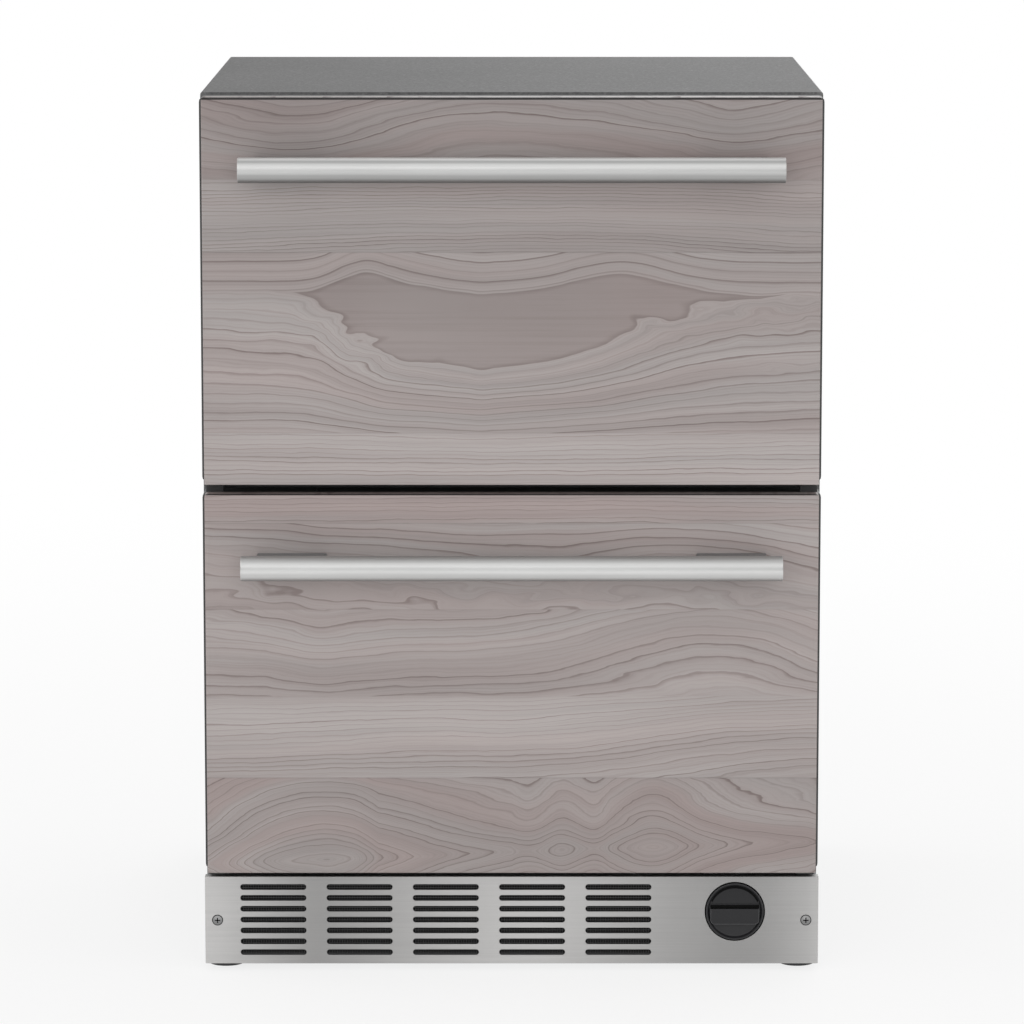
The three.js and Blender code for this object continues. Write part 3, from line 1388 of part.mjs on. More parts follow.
function sealPlace(room) {
  return [
    INSIDE_HALF + SEAL_SIDE_GAP + SEAL_WIDTH,
    room.floor - SEAL_END_GAP - SEAL_WIDTH,
    room.ceiling + SEAL_END_GAP + SEAL_WIDTH,
  ];
}

// Magnetic seal: a bellows with a foot in the door liner's groove.
function gasket(room) {
  const back = -SEAL_SPACE + CLEARANCE;
  const front = -CLEARANCE;
  const middle = SEAL_WIDTH / 2;
  return mitredRing(
    [
      [1, back],
      [0, back + 1.4],
      [1.6, back + 2.2],
      [1, front - 0.6],
      [2, front],
      [SEAL_WIDTH - 2, front],
      [SEAL_WIDTH - 1, front - 0.6],
      [SEAL_WIDTH - 1.6, back + 2.2],
      [SEAL_WIDTH, back + 1.4],
      [SEAL_WIDTH - 1, back],
      [middle + 1, back],
      [middle + 1.7, back - SEAL_DART + 1.5],
      [middle, back - SEAL_DART],
      [middle - 1.7, back - SEAL_DART + 1.5],
      [middle - 1, back],
    ],
    ...sealPlace(room),
  );
}

function woodPanel(height) {
  return alongY(
    arch(PANEL_WIDTH / 2, 0, height, PANEL_CORNER),
    PANEL_FRONT,
    PANEL_BACK,
    PANEL_ARRIS,
  );
}

// Bar with a crowned front over a flat back, drawn in y and z.
function handleBar(height) {
  const middle = height - BAR_DROP;
  const back = HANDLE_FRONT + BAR_DEPTH;
  const half = BAR_HEIGHT / 2;
  const [side, edge] = [HANDLE_FRONT + 3, back - 4];
  const section = new THREE.Shape();
  section.moveTo(back, middle - half + 3);
  section.lineTo(back, middle + half - 3);
  section.quadraticCurveTo(back, middle + half, edge, middle + half);
  [1, -1].forEach((up) => {
    const controls = [
      [side, middle + up * half],
      [HANDLE_FRONT, middle + up * (half - BAR_CROWN)],
    ];
    const [first, second] = up > 0 ? controls : controls.reverse();
    const end = up > 0 ? [HANDLE_FRONT, middle] : [edge, middle - half];
    section.bezierCurveTo(...first, ...second, ...end);
  });
  section.quadraticCurveTo(back, middle - half, back, middle - half + 3);
  return alongX(section, -BAR_LENGTH / 2, BAR_LENGTH / 2, BAR_EDGE);
}

// Bracket that flares towards the panel, drawn in x and y.
function handleBracket(height, side) {
  const x = (side * BRACKET_SPACING) / 2;
  const middle = height - BAR_DROP;
  const foot = PANEL_FRONT - CLEARANCE;
  const seat = HANDLE_FRONT + BAR_DEPTH + CLEARANCE;
  const half = BRACKET_WIDTH / 2;
  const [wide, narrow] = [half + 1, half - BRACKET_FLARE];
  const plan = outline([
    [x - wide, foot],
    [x - wide, foot - BRACKET_FOOT, 2],
    [x - narrow, seat + 6, 5],
    [x - narrow, seat],
    [x + narrow, seat],
    [x + narrow, seat + 6, 5],
    [x + wide, foot - BRACKET_FOOT, 2],
    [x + wide, foot],
  ]);
  const [low, high] = [middle - BRACKET_HEIGHT / 2, middle + BRACKET_HEIGHT / 2];
  return alongZ(plan, low, high, BRACKET_EDGE);
}

// Open bin with a turned-out rim; a step leaves room for the machine space where there is one.
function bin(floor, height, step) {
  const top = floor + height;
  const solidBin = (inset, extraTop) => {
    const front = BIN_FRONT + inset;
    const back = BIN_FRONT + BIN_DEPTH - inset;
    const half = BIN_HALF - inset;
    const [low, high] = [floor + inset, top + extraTop];
    const profile = step
      ? stepOutline(front, back, low, step.y - inset, step.z + inset, high, BIN_STEP_RADIUS)
      : rectangle(front, back, low, high);
    const plan = rectangle(-half, half, front, back, BIN_CORNER - inset);
    return alongX(profile, -half, half).intersect(alongZ(plan, floor, high));
  };
  const rim = alongZ(
    rectangle(
      -BIN_HALF - BIN_RIM,
      BIN_HALF + BIN_RIM,
      BIN_FRONT,
      BIN_FRONT + BIN_DEPTH + BIN_RIM,
      BIN_CORNER,
    ),
    top - BIN_RIM_THICKNESS,
    top,
  );
  return cut(joined(solidBin(0, 0), rim), solidBin(BIN_WALL, 1));
}

// One drawer: everything that comes out with it, built from the bottom of its wood panel.
function drawer(prefix, room, panelZ, headroom, step, runnerZ) {
  const group = new THREE.Group();
  group.position.z = panelZ;
  const local = { floor: room.floor - panelZ, ceiling: room.ceiling - panelZ };
  const add = (name, made, material) => addPiece(group, `${prefix}_${name}`, made, material);
  const binFloor = local.floor + BIN_FLOOR_GAP;
  const binHeight = local.ceiling - headroom - binFloor;
  const localStep = step && { y: step.y, z: step.z - panelZ };
  add("door_pan", doorPan(PANEL_HEIGHT), DOOR_STEEL);
  add("door_liner", doorLiner(PANEL_HEIGHT, local), WHITE_PLASTIC);
  add("gasket", gasket(local), RUBBER);
  add("wood_panel", woodPanel(PANEL_HEIGHT), WOOD);
  add("handle_bar", handleBar(PANEL_HEIGHT), BRUSHED);
  add("bin", bin(binFloor, binHeight, localStep), CLEAR_PLASTIC);
  SIDES.forEach(([sideName, side]) => {
    add(`handle_bracket_${sideName}`, handleBracket(PANEL_HEIGHT, side), BRACKET_METAL);
    const member = runner(drawerMember(side), RUNNER_SETBACK, MOVING_LENGTH);
    add(`drawer_runner_${sideName}`, member, RUNNER_STEEL).position.z = runnerZ - panelZ;
  });
  return group;
}

// The two members of each runner that stay with the cabinet or travel half way.
function fixedRunners(group, prefix, runnerZ) {
  SIDES.forEach(([sideName, side]) => {
    const outer = runner(cabinetMember(side), RUNNER_SETBACK, RUNNER_LENGTH);
    const middle = runner(middleMember(side), RUNNER_SETBACK, MOVING_LENGTH);
    [
      ["cabinet", outer],
      ["middle", middle],
    ].forEach(([kind, made]) => {
      const name = `${prefix}_${kind}_runner_${sideName}`;
      addPiece(group, name, made, RUNNER_STEEL).position.z = runnerZ;
    });
  });
}

// ---- Assembly ----
function cabinet() {
  const group = new THREE.Group();
  addPiece(group, "cabinet_wrap", cabinetWrap(), PAINTED_STEEL);
  addPiece(group, "back_panel", backPanel(), GALVANISED);
  addPiece(group, "base_pan", basePan(), GALVANISED);
  addPiece(group, "machine_deck", machineDeck(), GALVANISED);
  addPiece(group, "foam_insulation", foamInsulation(), FOAM);
  const upperSpace = (grow, front) => compartment(UPPER, grow, front);
  addPiece(group, "upper_liner", liner(upperSpace, mouthOf(UPPER)), WHITE_PLASTIC);
  addPiece(group, "lower_liner", liner(steppedCompartment, mouthOf(LOWER)), WHITE_PLASTIC);
  addPiece(group, "face_frame", faceFrame(), DARK_TRIM);
  addPiece(group, "kick_plate", kickPlate(), BRUSHED);
  addPiece(group, "compressor", compressor(), POT_BLACK);
  addPiece(group, "condenser", condenser(), FIN_METAL);
  addPiece(group, "condenser_fan_frame", condenserFanFrame(), BLACK_PLASTIC);
  addPiece(group, "discharge_line", dischargeLine(), COPPER);
  addPiece(group, "suction_line", suctionLine(), COPPER);
  addPiece(group, "drain_pan", drainPan(), BLACK_PLASTIC);
  addPiece(group, "evaporator", evaporator(), FIN_METAL);
  addPiece(group, "evaporator_cover", evaporatorCover(), WHITE_PLASTIC);
  addPiece(group, "air_duct", airDuct(), WHITE_PLASTIC);
  addPiece(group, "control_panel", controlPanel(), BLACK_PLASTIC);
  addPiece(group, "light_bar", lightBar(), LIGHT_COVER);
  addPiece(group, "ice_maker", iceMaker(), WHITE_PLASTIC);
  addPiece(group, "filter_head", filterHead(), BLACK_PLASTIC);
  addPiece(group, "water_valve", waterValve(), BLACK_PLASTIC);
  addPiece(group, "filter_cartridge", filterCartridge(), WHITE_PLASTIC);
  addPiece(group, "filter_cap", filterCap(), BLACK_PLASTIC);
  addPiece(group, "condenser_fan", fanRotor(CONDENSER_FAN), BLACK_PLASTIC);
  addPiece(group, "evaporator_fan", fanRotor(EVAPORATOR_FAN), WHITE_PLASTIC);
  legPlaces().forEach(({ name, x, y }) => {
    addPiece(group, name, levellingLeg(), BLACK_PLASTIC).position.set(x, y, 0);
  });
  return group;
}

function refrigerator() {
  const group = new THREE.Group();
  const upperRunnerZ = UPPER.floor + UPPER_RUNNER_RISE;
  const lowerRunnerZ = STEP_HEIGHT + LOWER_RUNNER_RISE;
  const binStep = { y: STEP_DEPTH - BIN_STEP_GAP, z: STEP_HEIGHT + BIN_FLOOR_GAP };
  group.add(cabinet());
  fixedRunners(group, "upper", upperRunnerZ);
  fixedRunners(group, "lower", lowerRunnerZ);
  group.add(drawer("upper", UPPER, UPPER_PANEL_Z, UPPER_BIN_HEADROOM, null, upperRunnerZ));
  group.add(drawer("lower", LOWER, LOWER_PANEL_Z, LOWER_BIN_HEADROOM, binStep, lowerRunnerZ));
  group.position.y = -(CABINET_DEPTH + HANDLE_FRONT) / 2;
  return group;
}

export default refrigerator();
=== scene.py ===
"""Looks of an undercounter refrigerator with two drawers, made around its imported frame.

Metres, in the frame's own axes: x to the right, y to the back, z up from the floor.
The file is laid out as an add-on: sizes and colours in property groups, one operator for each
group of pieces, and a panel that lists them. Run as a script, it makes everything once.
"""

import json
import math

import bmesh
import bpy
from bpy.props import FloatProperty, FloatVectorProperty, IntProperty, PointerProperty
from mathutils import Matrix, Vector


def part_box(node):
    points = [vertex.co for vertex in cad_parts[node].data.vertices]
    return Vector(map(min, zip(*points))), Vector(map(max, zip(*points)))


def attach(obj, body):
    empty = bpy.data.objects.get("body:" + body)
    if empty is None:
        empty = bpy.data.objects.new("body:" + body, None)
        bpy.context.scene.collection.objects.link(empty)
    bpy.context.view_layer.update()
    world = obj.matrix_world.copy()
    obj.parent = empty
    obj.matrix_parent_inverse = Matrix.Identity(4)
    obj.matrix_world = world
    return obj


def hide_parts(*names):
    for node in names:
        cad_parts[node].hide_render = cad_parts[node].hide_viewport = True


bl_info = {
    "name": "Drawer refrigerator",
    "version": (1, 0, 0),
    "blender": (4, 5, 0),
    "location": "View3D > Sidebar > Refrigerator",
    "description": "Finishes an undercounter refrigerator with two drawers",
    "category": "Object",
}

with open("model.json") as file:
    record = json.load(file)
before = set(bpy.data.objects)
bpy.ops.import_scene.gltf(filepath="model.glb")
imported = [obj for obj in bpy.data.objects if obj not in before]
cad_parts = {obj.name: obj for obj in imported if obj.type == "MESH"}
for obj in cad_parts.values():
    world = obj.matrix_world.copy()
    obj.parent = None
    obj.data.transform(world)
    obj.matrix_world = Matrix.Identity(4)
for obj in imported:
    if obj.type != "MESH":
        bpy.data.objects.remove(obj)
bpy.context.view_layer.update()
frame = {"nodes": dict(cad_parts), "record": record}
SLOT_OF = {part["node"]: part["material_slot"] for part in frame["record"]["subparts"]}
BODY_OF = {
    node: body
    for body, nodes in frame["record"]["behaviour"]["bodies"].items()
    for node in nodes
}


def corner(node, axis, end):
    """One side of a node's box: axis 0 to 2, end 0 for the low side and 1 for the high side."""
    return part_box(node)[end][axis]


def tone(*levels):
    """Scene colour of a screen colour given as 0 to 255 levels."""
    scaled = [level / 255 for level in levels]
    linear = [v / 12.92 if v <= 0.04045 else ((v + 0.055) / 1.055) ** 2.4 for v in scaled]
    return tuple(linear if len(linear) == 3 else linear * 3)


# ---- Settings ----


def length(name, description, default):
    return FloatProperty(name=name, description=description, default=default, unit="LENGTH")


def colour(name, description, *levels):
    return FloatVectorProperty(
        name=name, description=description, default=tone(*levels), size=3, subtype="COLOR",
        min=0, max=1,
    )


class FRIDGE_PG_sizes(bpy.types.PropertyGroup):
    """Sizes that a user would change, in metres where nothing else is said."""

    camera_side: length("Camera side", "To the right of the middle", 0.0003)
    camera_distance: length("Camera distance", "From the cabinet's front to the camera", 5.0)
    camera_height: length("Camera height", "Above the floor", 1.2242)
    camera_pitch: FloatProperty(
        name="Camera pitch", description="Below the horizon", default=math.radians(8.764),
        subtype="ANGLE",
    )
    camera_lens: FloatProperty(name="Lens", description="Focal length in mm", default=180.5)
    floor_reach: length("Floor reach", "Half the floor's side", 30.0)
    screw_radius: length("Screw radius", "Head of the kick plate's screws", 0.0047)
    rivet_radius: length("Rivet radius", "Head of the back panel's screws", 0.0036)
    fin_pitch: length("Fin pitch", "Between two fins of a coil", 0.0026)
    round_steps: IntProperty(
        name="Round steps", description="Sides of a large round piece", default=96, min=24,
    )


class FRIDGE_PG_colours(bpy.types.PropertyGroup):
    """Colours that a user would change."""

    wood_light: colour("Light wood", "Between the growth rings", 170, 164, 162)
    wood_dark: colour("Dark wood", "In the growth rings", 120, 106, 103)
    wood_pink: colour("Warm wood", "Patches of warmer grain", 162, 146, 143)
    paint: colour("Cabinet paint", "Textured paint of the cabinet", 112)
    steel: colour("Brushed steel", "Kick plate", 190, 189, 188)
    handle: colour("Handle steel", "Satin bars", 223, 223, 222)
    door: colour("Door steel", "Folded pans behind the wood", 66)
    backdrop: colour("Floor", "Floor and background", 250)


def sizes():
    """The sizes as the user has them."""
    return bpy.context.scene.fridge_sizes


# ---- Node trees and materials ----


class Field:
    """A value inside a node tree; arithmetic on it adds Math nodes."""

    def __init__(self, nodes, socket):
        self.nodes = nodes
        self.socket = socket

    def _math(self, operation, *values):
        return self.nodes.node("ShaderNodeMath", {"operation": operation}, values)

    def __add__(self, other):
        return self._math("ADD", self, other)

    def __sub__(self, other):
        return self._math("SUBTRACT", self, other)

    def __rsub__(self, other):
        return self._math("SUBTRACT", other, self)

    def __mul__(self, other):
        return self._math("MULTIPLY", self, other)

    def __truediv__(self, other):
        return self._math("DIVIDE", self, other)

    def __neg__(self):
        return self._math("MULTIPLY", self, -1.0)

    __radd__ = __add__
    __rmul__ = __mul__

    def power(self, exponent):
        return self._math("POWER", self, exponent)

    def exponential(self):
        return self._math("EXPONENT", self)

    def absolute(self):
        return self._math("ABSOLUTE", self)

    def floor(self):
        return self._math("FLOOR", self)

    def fraction(self):
        return self._math("FRACT", self)

    def greater(self, other):
        return self._math("MAXIMUM", self, other)

    def lesser(self, other):
        return self._math("MINIMUM", self, other)

    def above(self, edge):
        return self._math("GREATER_THAN", self, edge)

    def smooth(self, low, high, start=0.0, end=1.0, kind="SMOOTHSTEP"):
        """Rises from start to end as the value goes from low to high."""
        settings = {"interpolation_type": kind}
        return self.nodes.node("ShaderNodeMapRange", settings, (self, low, high, start, end))

    def lerp(self, low, high):
        return self * (high - low) + low


class Nodes:
    """A node tree under construction."""

    def __init__(self, tree):
        self.tree = tree
        tree.nodes.clear()

    def feed(self, socket, value):
        """Links fields to a socket, or sets its own value; a user's colour goes by its name."""
        if isinstance(value, Field):
            self.tree.links.new(value.socket, socket)
        elif isinstance(value, list):
            for field in value:
                self.feed(socket, field)
        elif socket.type == "RGBA":
            if isinstance(value, str):
                value = getattr(bpy.context.scene.fridge_colours, value)
            socket.default_value = (*value, 1.0)
        else:
            socket.default_value = value

    def node(self, kind, settings=None, values=(), output=0):
        """A node of any kind: its settings first, then the values or links of its sockets."""
        made = self.tree.nodes.new(kind)
        for key, value in (settings or {}).items():
            setattr(made, key, value)
        pairs = values.items() if isinstance(values, dict) else enumerate(values)
        for key, value in pairs:
            self.feed(made.inputs[key], value)
        return Field(self, made.outputs[output])

    def show(self, field, kind):
        """Links a result to the tree's output node."""
        found = [node for node in self.tree.nodes if node.bl_idname == kind]
        output = found[0] if found else self.tree.nodes.new(kind)
        self.tree.links.new(field.socket, output.inputs[0])

    def axes(self, vector):
        return [self.node("ShaderNodeSeparateXYZ", None, (vector,), i) for i in range(3)]

    def vector(self, x, y, z):
        return self.node("ShaderNodeCombineXYZ", None, (x, y, z))

    def looked_at(self):
        """1 for what the camera, a reflection or a clear piece shows, 0 for light on the rest."""
        rays = ("Is Camera Ray", "Is Glossy Ray", "Is Transmission Ray")
        direct, glossy, clear = [self.node("ShaderNodeLightPath", output=ray) for ray in rays]
        return direct.greater(glossy).greater(clear)


class Finish(Nodes):
    """A material under construction: one shader fed by procedural nodes."""

    def __init__(self, name):
        self.material = bpy.data.materials.new(name)
        self.material.use_nodes = True
        super().__init__(self.material.node_tree)
        self.shader = self.node("ShaderNodeBsdfPrincipled")
        self.place = self.node("ShaderNodeTexCoord", output="Object")

    def ramp(self, place, stops):
        """A level read off a smooth curve through stops of (place, level), both from 0 to 1."""
        read = self.node("ShaderNodeValToRGB", None, (place,))
        ramp = read.socket.node.color_ramp
        ramp.interpolation = "B_SPLINE"
        while len(ramp.elements) < len(stops):
            ramp.elements.new(1.0)
        for element, (position, level) in zip(ramp.elements, stops):
            element.position = position
            element.color = (level, level, level, 1.0)
        return read

    def mapped(self, scale, shift=(0, 0, 0), place=None):
        """Coordinates at a scale, one for all axes or one for each."""
        scales = scale if isinstance(scale, tuple) else (scale,) * 3
        values = {"Vector": place or self.place, "Location": shift, "Scale": scales}
        return self.node("ShaderNodeMapping", None, values)

    def noise(self, scale, detail=3.0, rough=0.55, shift=(0, 0, 0), place=None):
        """Noise of 0 to 1 at the given features per metre."""
        values = {
            "Vector": self.mapped(scale, shift, place),
            "Scale": 1.0,
            "Detail": detail,
            "Roughness": rough,
        }
        return self.node("ShaderNodeTexNoise", None, values)

    def cells(self, scale, feature="F1", output="Distance"):
        values = {"Vector": self.mapped(scale), "Scale": 1.0}
        return self.node("ShaderNodeTexVoronoi", {"feature": feature}, values, output)

    def mix(self, first, second, amount, blend="MIX"):
        settings = {"data_type": "RGBA", "blend_type": blend}
        return self.node("ShaderNodeMix", settings, {0: amount, 6: first, 7: second}, 2)

    def grey(self, value):
        return self.node("ShaderNodeCombineColor", None, (value, value, value))

    def shaded(self, base, amount):
        """A colour times a varying level."""
        return self.mix(base, self.grey(amount), 1.0, "MULTIPLY")

    def bump(self, height, strength, distance):
        values = {"Height": height, "Strength": strength, "Distance": distance}
        return self.node("ShaderNodeBump", None, values, "Normal")

    def done(self, **sockets):
        """The material, once its shader's sockets are fed."""
        for name, value in sockets.items():
            self.feed(self.shader.socket.node.inputs[name.replace("_", " ")], value)
        self.show(self.shader, "ShaderNodeOutputMaterial")
        return self.material


def cabinet_paint(name):
    made = Finish(name)
    speckle = made.noise(330, rough=0.7)
    fleck = made.noise(190, detail=2.0, shift=(1, 6, 2)).smooth(0.54, 0.68)
    orange = made.noise(480, detail=2.0, shift=(3, 1, 7))
    cloud = made.noise(5)
    level = speckle.smooth(0.3, 0.7, 0.8, 1.12) + fleck * 0.24
    return made.done(
        Base_Color=made.shaded("paint", level * cloud.smooth(0.3, 0.7, 0.97, 1.03)),
        Roughness=orange.smooth(0.3, 0.7, 0.6, 0.74),
        Normal=made.bump(orange * 0.5 + speckle * 0.5, 0.5, 0.0003),
        Specular_IOR_Level=0.1,
    )


def galvanised(name):
    made = Finish(name)
    spangle = made.cells(70, output="Color")
    edge = made.cells(70, "DISTANCE_TO_EDGE").smooth(0.0, 0.05, 0.94, 1.0)
    grain = made.node("ShaderNodeSeparateColor", None, (spangle,))
    level = grain.lerp(0.86, 1.1) * edge * made.noise(9).smooth(0.3, 0.7, 0.94, 1.05)
    return made.done(
        Base_Color=made.shaded(tone(176, 179, 181), level),
        Metallic=0.85,
        Roughness=grain.lerp(0.36, 0.52),
        Normal=made.bump(grain, 0.08, 0.0004),
    )


def brushed(name, base, along, gloss, metal=1.0, drift=None):
    """Steel brushed along one axis, 0 for x to 2 for z, whose tone may carry painted reflections
    and shade along another.
    """
    made = Finish(name)
    scale = tuple(5.0 if axis == along else 900.0 for axis in range(3))
    fine = made.noise(scale, detail=4.0, rough=0.7)
    level = fine.smooth(0.3, 0.7, 0.95, 1.04) * made.noise(7).smooth(0.3, 0.7, 0.98, 1.02)
    # A drift paints reflections and shade into the colour, as a ramp of levels along one axis.
    if drift:
        axis, start, end, stops = drift
        place = made.axes(made.place)[axis].smooth(start, end, kind="LINEAR")
        level = level * made.ramp(place, stops)
    return made.done(
        Base_Color=made.shaded(base, level),
        Metallic=metal,
        Roughness=fine.smooth(0.3, 0.7, *gloss),
        Normal=made.bump(fine, 0.08, 0.0001),
    )


def moulded(name, base, rough, grain=900.0, depth=0.0001, specular=0.5):
    """A moulded plastic with a fine spark-eroded texture."""
    made = Finish(name)
    texture = made.noise(grain)
    patch = made.noise(9, detail=2.0)
    level = texture.smooth(0.3, 0.7, 0.95, 1.04) * patch.lerp(0.98, 1.03)
    return made.done(
        Base_Color=made.shaded(base, level),
        Roughness=texture.smooth(0.3, 0.7, rough - 0.05, rough + 0.07) - patch * 0.03,
        Normal=made.bump(texture, 0.25, depth),
        Specular_IOR_Level=specular,
    )


def seal_rubber(name):
    made = Finish(name)
    dust = made.noise(60, detail=5.0).smooth(0.45, 0.8)
    texture = made.noise(1200)
    return made.done(
        Base_Color=made.mix(tone(40), tone(72, 71, 69), dust * 0.4),
        Roughness=dust.lerp(0.66, 0.86),
        Normal=made.bump(texture, 0.2, 0.0001),
    )


def foam(name):
    made = Finish(name)
    pores = made.cells(420)
    return made.done(
        Base_Color=made.mix(tone(214, 196, 142), tone(231, 218, 172), made.noise(22)),
        Roughness=0.92,
        Normal=made.bump(pores, 0.6, 0.0008),
    )


def filter_foam(name):
    made = Finish(name)
    pores = made.cells(900)
    return made.done(
        Base_Color=made.shaded(tone(16), pores.smooth(0.1, 0.7, 0.4, 1.3)),
        Roughness=0.95,
        Specular_IOR_Level=0.1,
        Normal=made.bump(pores, 0.8, 0.0006),
    )


def copper(name):
    made = Finish(name)
    tarnish = made.noise(45, detail=5.0).smooth(0.42, 0.72)
    return made.done(
        Base_Color=made.mix(tone(205, 132, 98), tone(120, 74, 52), tarnish * 0.8),
        Metallic=1.0,
        Roughness=tarnish.lerp(0.25, 0.5),
    )


def fin_aluminium(name):
    made = Finish(name)
    wave = made.noise((30, 900, 30), detail=2.0)
    return made.done(
        Base_Color=made.shaded(tone(205, 208, 210), wave.smooth(0.3, 0.7, 0.85, 1.05)),
        Metallic=0.95,
        Roughness=wave.smooth(0.3, 0.7, 0.3, 0.48),
        Normal=made.bump(wave, 0.2, 0.0003),
    )


def pot_paint(name):
    made = Finish(name)
    peel = made.noise(240, detail=2.0)
    dust = made.axes(made.place)[2].smooth(0.05, 0.2) * made.noise(35, detail=5.0)
    return made.done(
        Base_Color=made.mix(tone(28), tone(70, 68, 64), dust * 0.35),
        Roughness=peel.smooth(0.3, 0.7, 0.28, 0.42) + dust * 0.3,
        Coat_Weight=0.3,
        Normal=made.bump(peel, 0.3, 0.0005),
    )


def bin_plastic(name):
    made = Finish(name)
    haze = made.noise(6, detail=2.0)
    return made.done(
        Base_Color=made.mix(tone(226, 231, 233), tone(234, 237, 238), haze),
        Roughness=haze.lerp(0.24, 0.3),
        Transmission_Weight=0.25,
        IOR=1.49,
    )


def light_cover(name):
    made = Finish(name)
    frost = made.noise(500).smooth(0.3, 0.7, 0.95, 1.0)
    return made.done(
        Base_Color=tone(244, 243, 236),
        Roughness=0.45,
        Emission_Color=made.shaded(tone(255, 250, 238), frost),
        Emission_Strength=0.5,
    )


def black_glass(name):
    made = Finish(name)
    smear = made.noise(40, detail=4.0)
    return made.done(
        Base_Color=made.mix(tone(14), tone(24), smear),
        Roughness=smear.smooth(0.3, 0.7, 0.06, 0.14),
        Coat_Weight=0.5,
    )


# Painted reflections: bands of lighter and darker tone along the kick plate's x, from its left end
# at 0 to its right end at 1.
KICK_PAINTED_REFLECTIONS = [
    (0.0, 0.94), (0.06, 0.86), (0.16, 0.52), (0.22, 0.53), (0.33, 0.7), (0.5, 0.9), (0.64, 0.78),
    (0.8, 0.54), (0.9, 0.52), (0.97, 0.74), (1.0, 0.84),
]
# Painted shade and reflections of the handle bars, as levels in even steps from their lower edge
# to their upper edge.
BAR_PAINTED_SHADING = {
    "upper_handle_bar": (
        0.22, 0.32, 0.39, 0.48, 0.56, 0.54, 0.55, 0.64, 0.66, 0.54, 0.46, 0.6, 0.77, 0.83, 0.79,
        0.53, 0.43, 1.0, 0.96,
    ),
    "lower_handle_bar": (
        0.2, 0.55, 0.67, 0.76, 0.79, 0.79, 0.81, 0.87, 0.88, 0.69, 0.5, 0.53, 0.68, 0.78, 0.79,
        0.65, 0.61, 0.6, 0.52,
    ),
}
BAR_FINISH = (brushed, "handle", 0, (0.4, 0.5), 0.75)
# Each finish: its maker and what the maker takes after the name.
FINISHES = {
    "cabinet_paint": (cabinet_paint,),
    "galvanised_steel": (galvanised,),
    "brushed_stainless": BAR_FINISH,
    # The kick plate's steel carries its painted reflection bands along x.
    "kick_steel": (brushed, "steel", 0, (0.4, 0.5), 0.9, (0, -0.31, 0.31, KICK_PAINTED_REFLECTIONS)),
    "bracket_steel": (brushed, tone(126), 0, (0.45, 0.6), 0.5),
    "runner_steel": (brushed, tone(186, 190, 192), 1, (0.24, 0.36)),
    "door_steel": (brushed, "door", 2, (0.5, 0.62), 0.1),
    "screw_steel": (brushed, tone(138), 0, (0.4, 0.55), 0.8),
    "dark_trim": (moulded, tone(40), 0.6),
    "black_plastic": (moulded, tone(42, 42, 43), 0.42),
    "white_plastic": (moulded, tone(232, 233, 232), 0.32, 900.0, 0.00005),
    # Black for painted shadows: in the cap's groove, under its rim, and round and inside screw
    # heads.
    "groove_black": (moulded, tone(8), 0.8, 700.0, 0.0001, 0.1),
    "cap_plastic": (moulded, tone(30, 30, 32), 0.42, 700.0, 0.0001, 0.3),
    # Light grey for the cap's painted highlights.
    "cap_edge": (moulded, tone(82, 82, 84), 0.4, 700.0, 0.0001, 0.3),
    "insulation_foam": (foam,),
    "filter_foam": (filter_foam,),
    "seal_rubber": (seal_rubber,),
    "copper": (copper,),
    "fin_aluminium": (fin_aluminium,),
    "compressor_black": (pot_paint,),
    "bin_plastic": (bin_plastic,),
    "light_cover": (light_cover,),
    "black_glass": (black_glass,),
}


def material(name, *recipe):
    """The named finish, made the first time it is asked for, from the table or a recipe."""
    title = name + "_finish"
    found = bpy.data.materials.get(title)
    if found:
        return found
    maker, *values = recipe or FINISHES[name]
    return maker(title, *values)


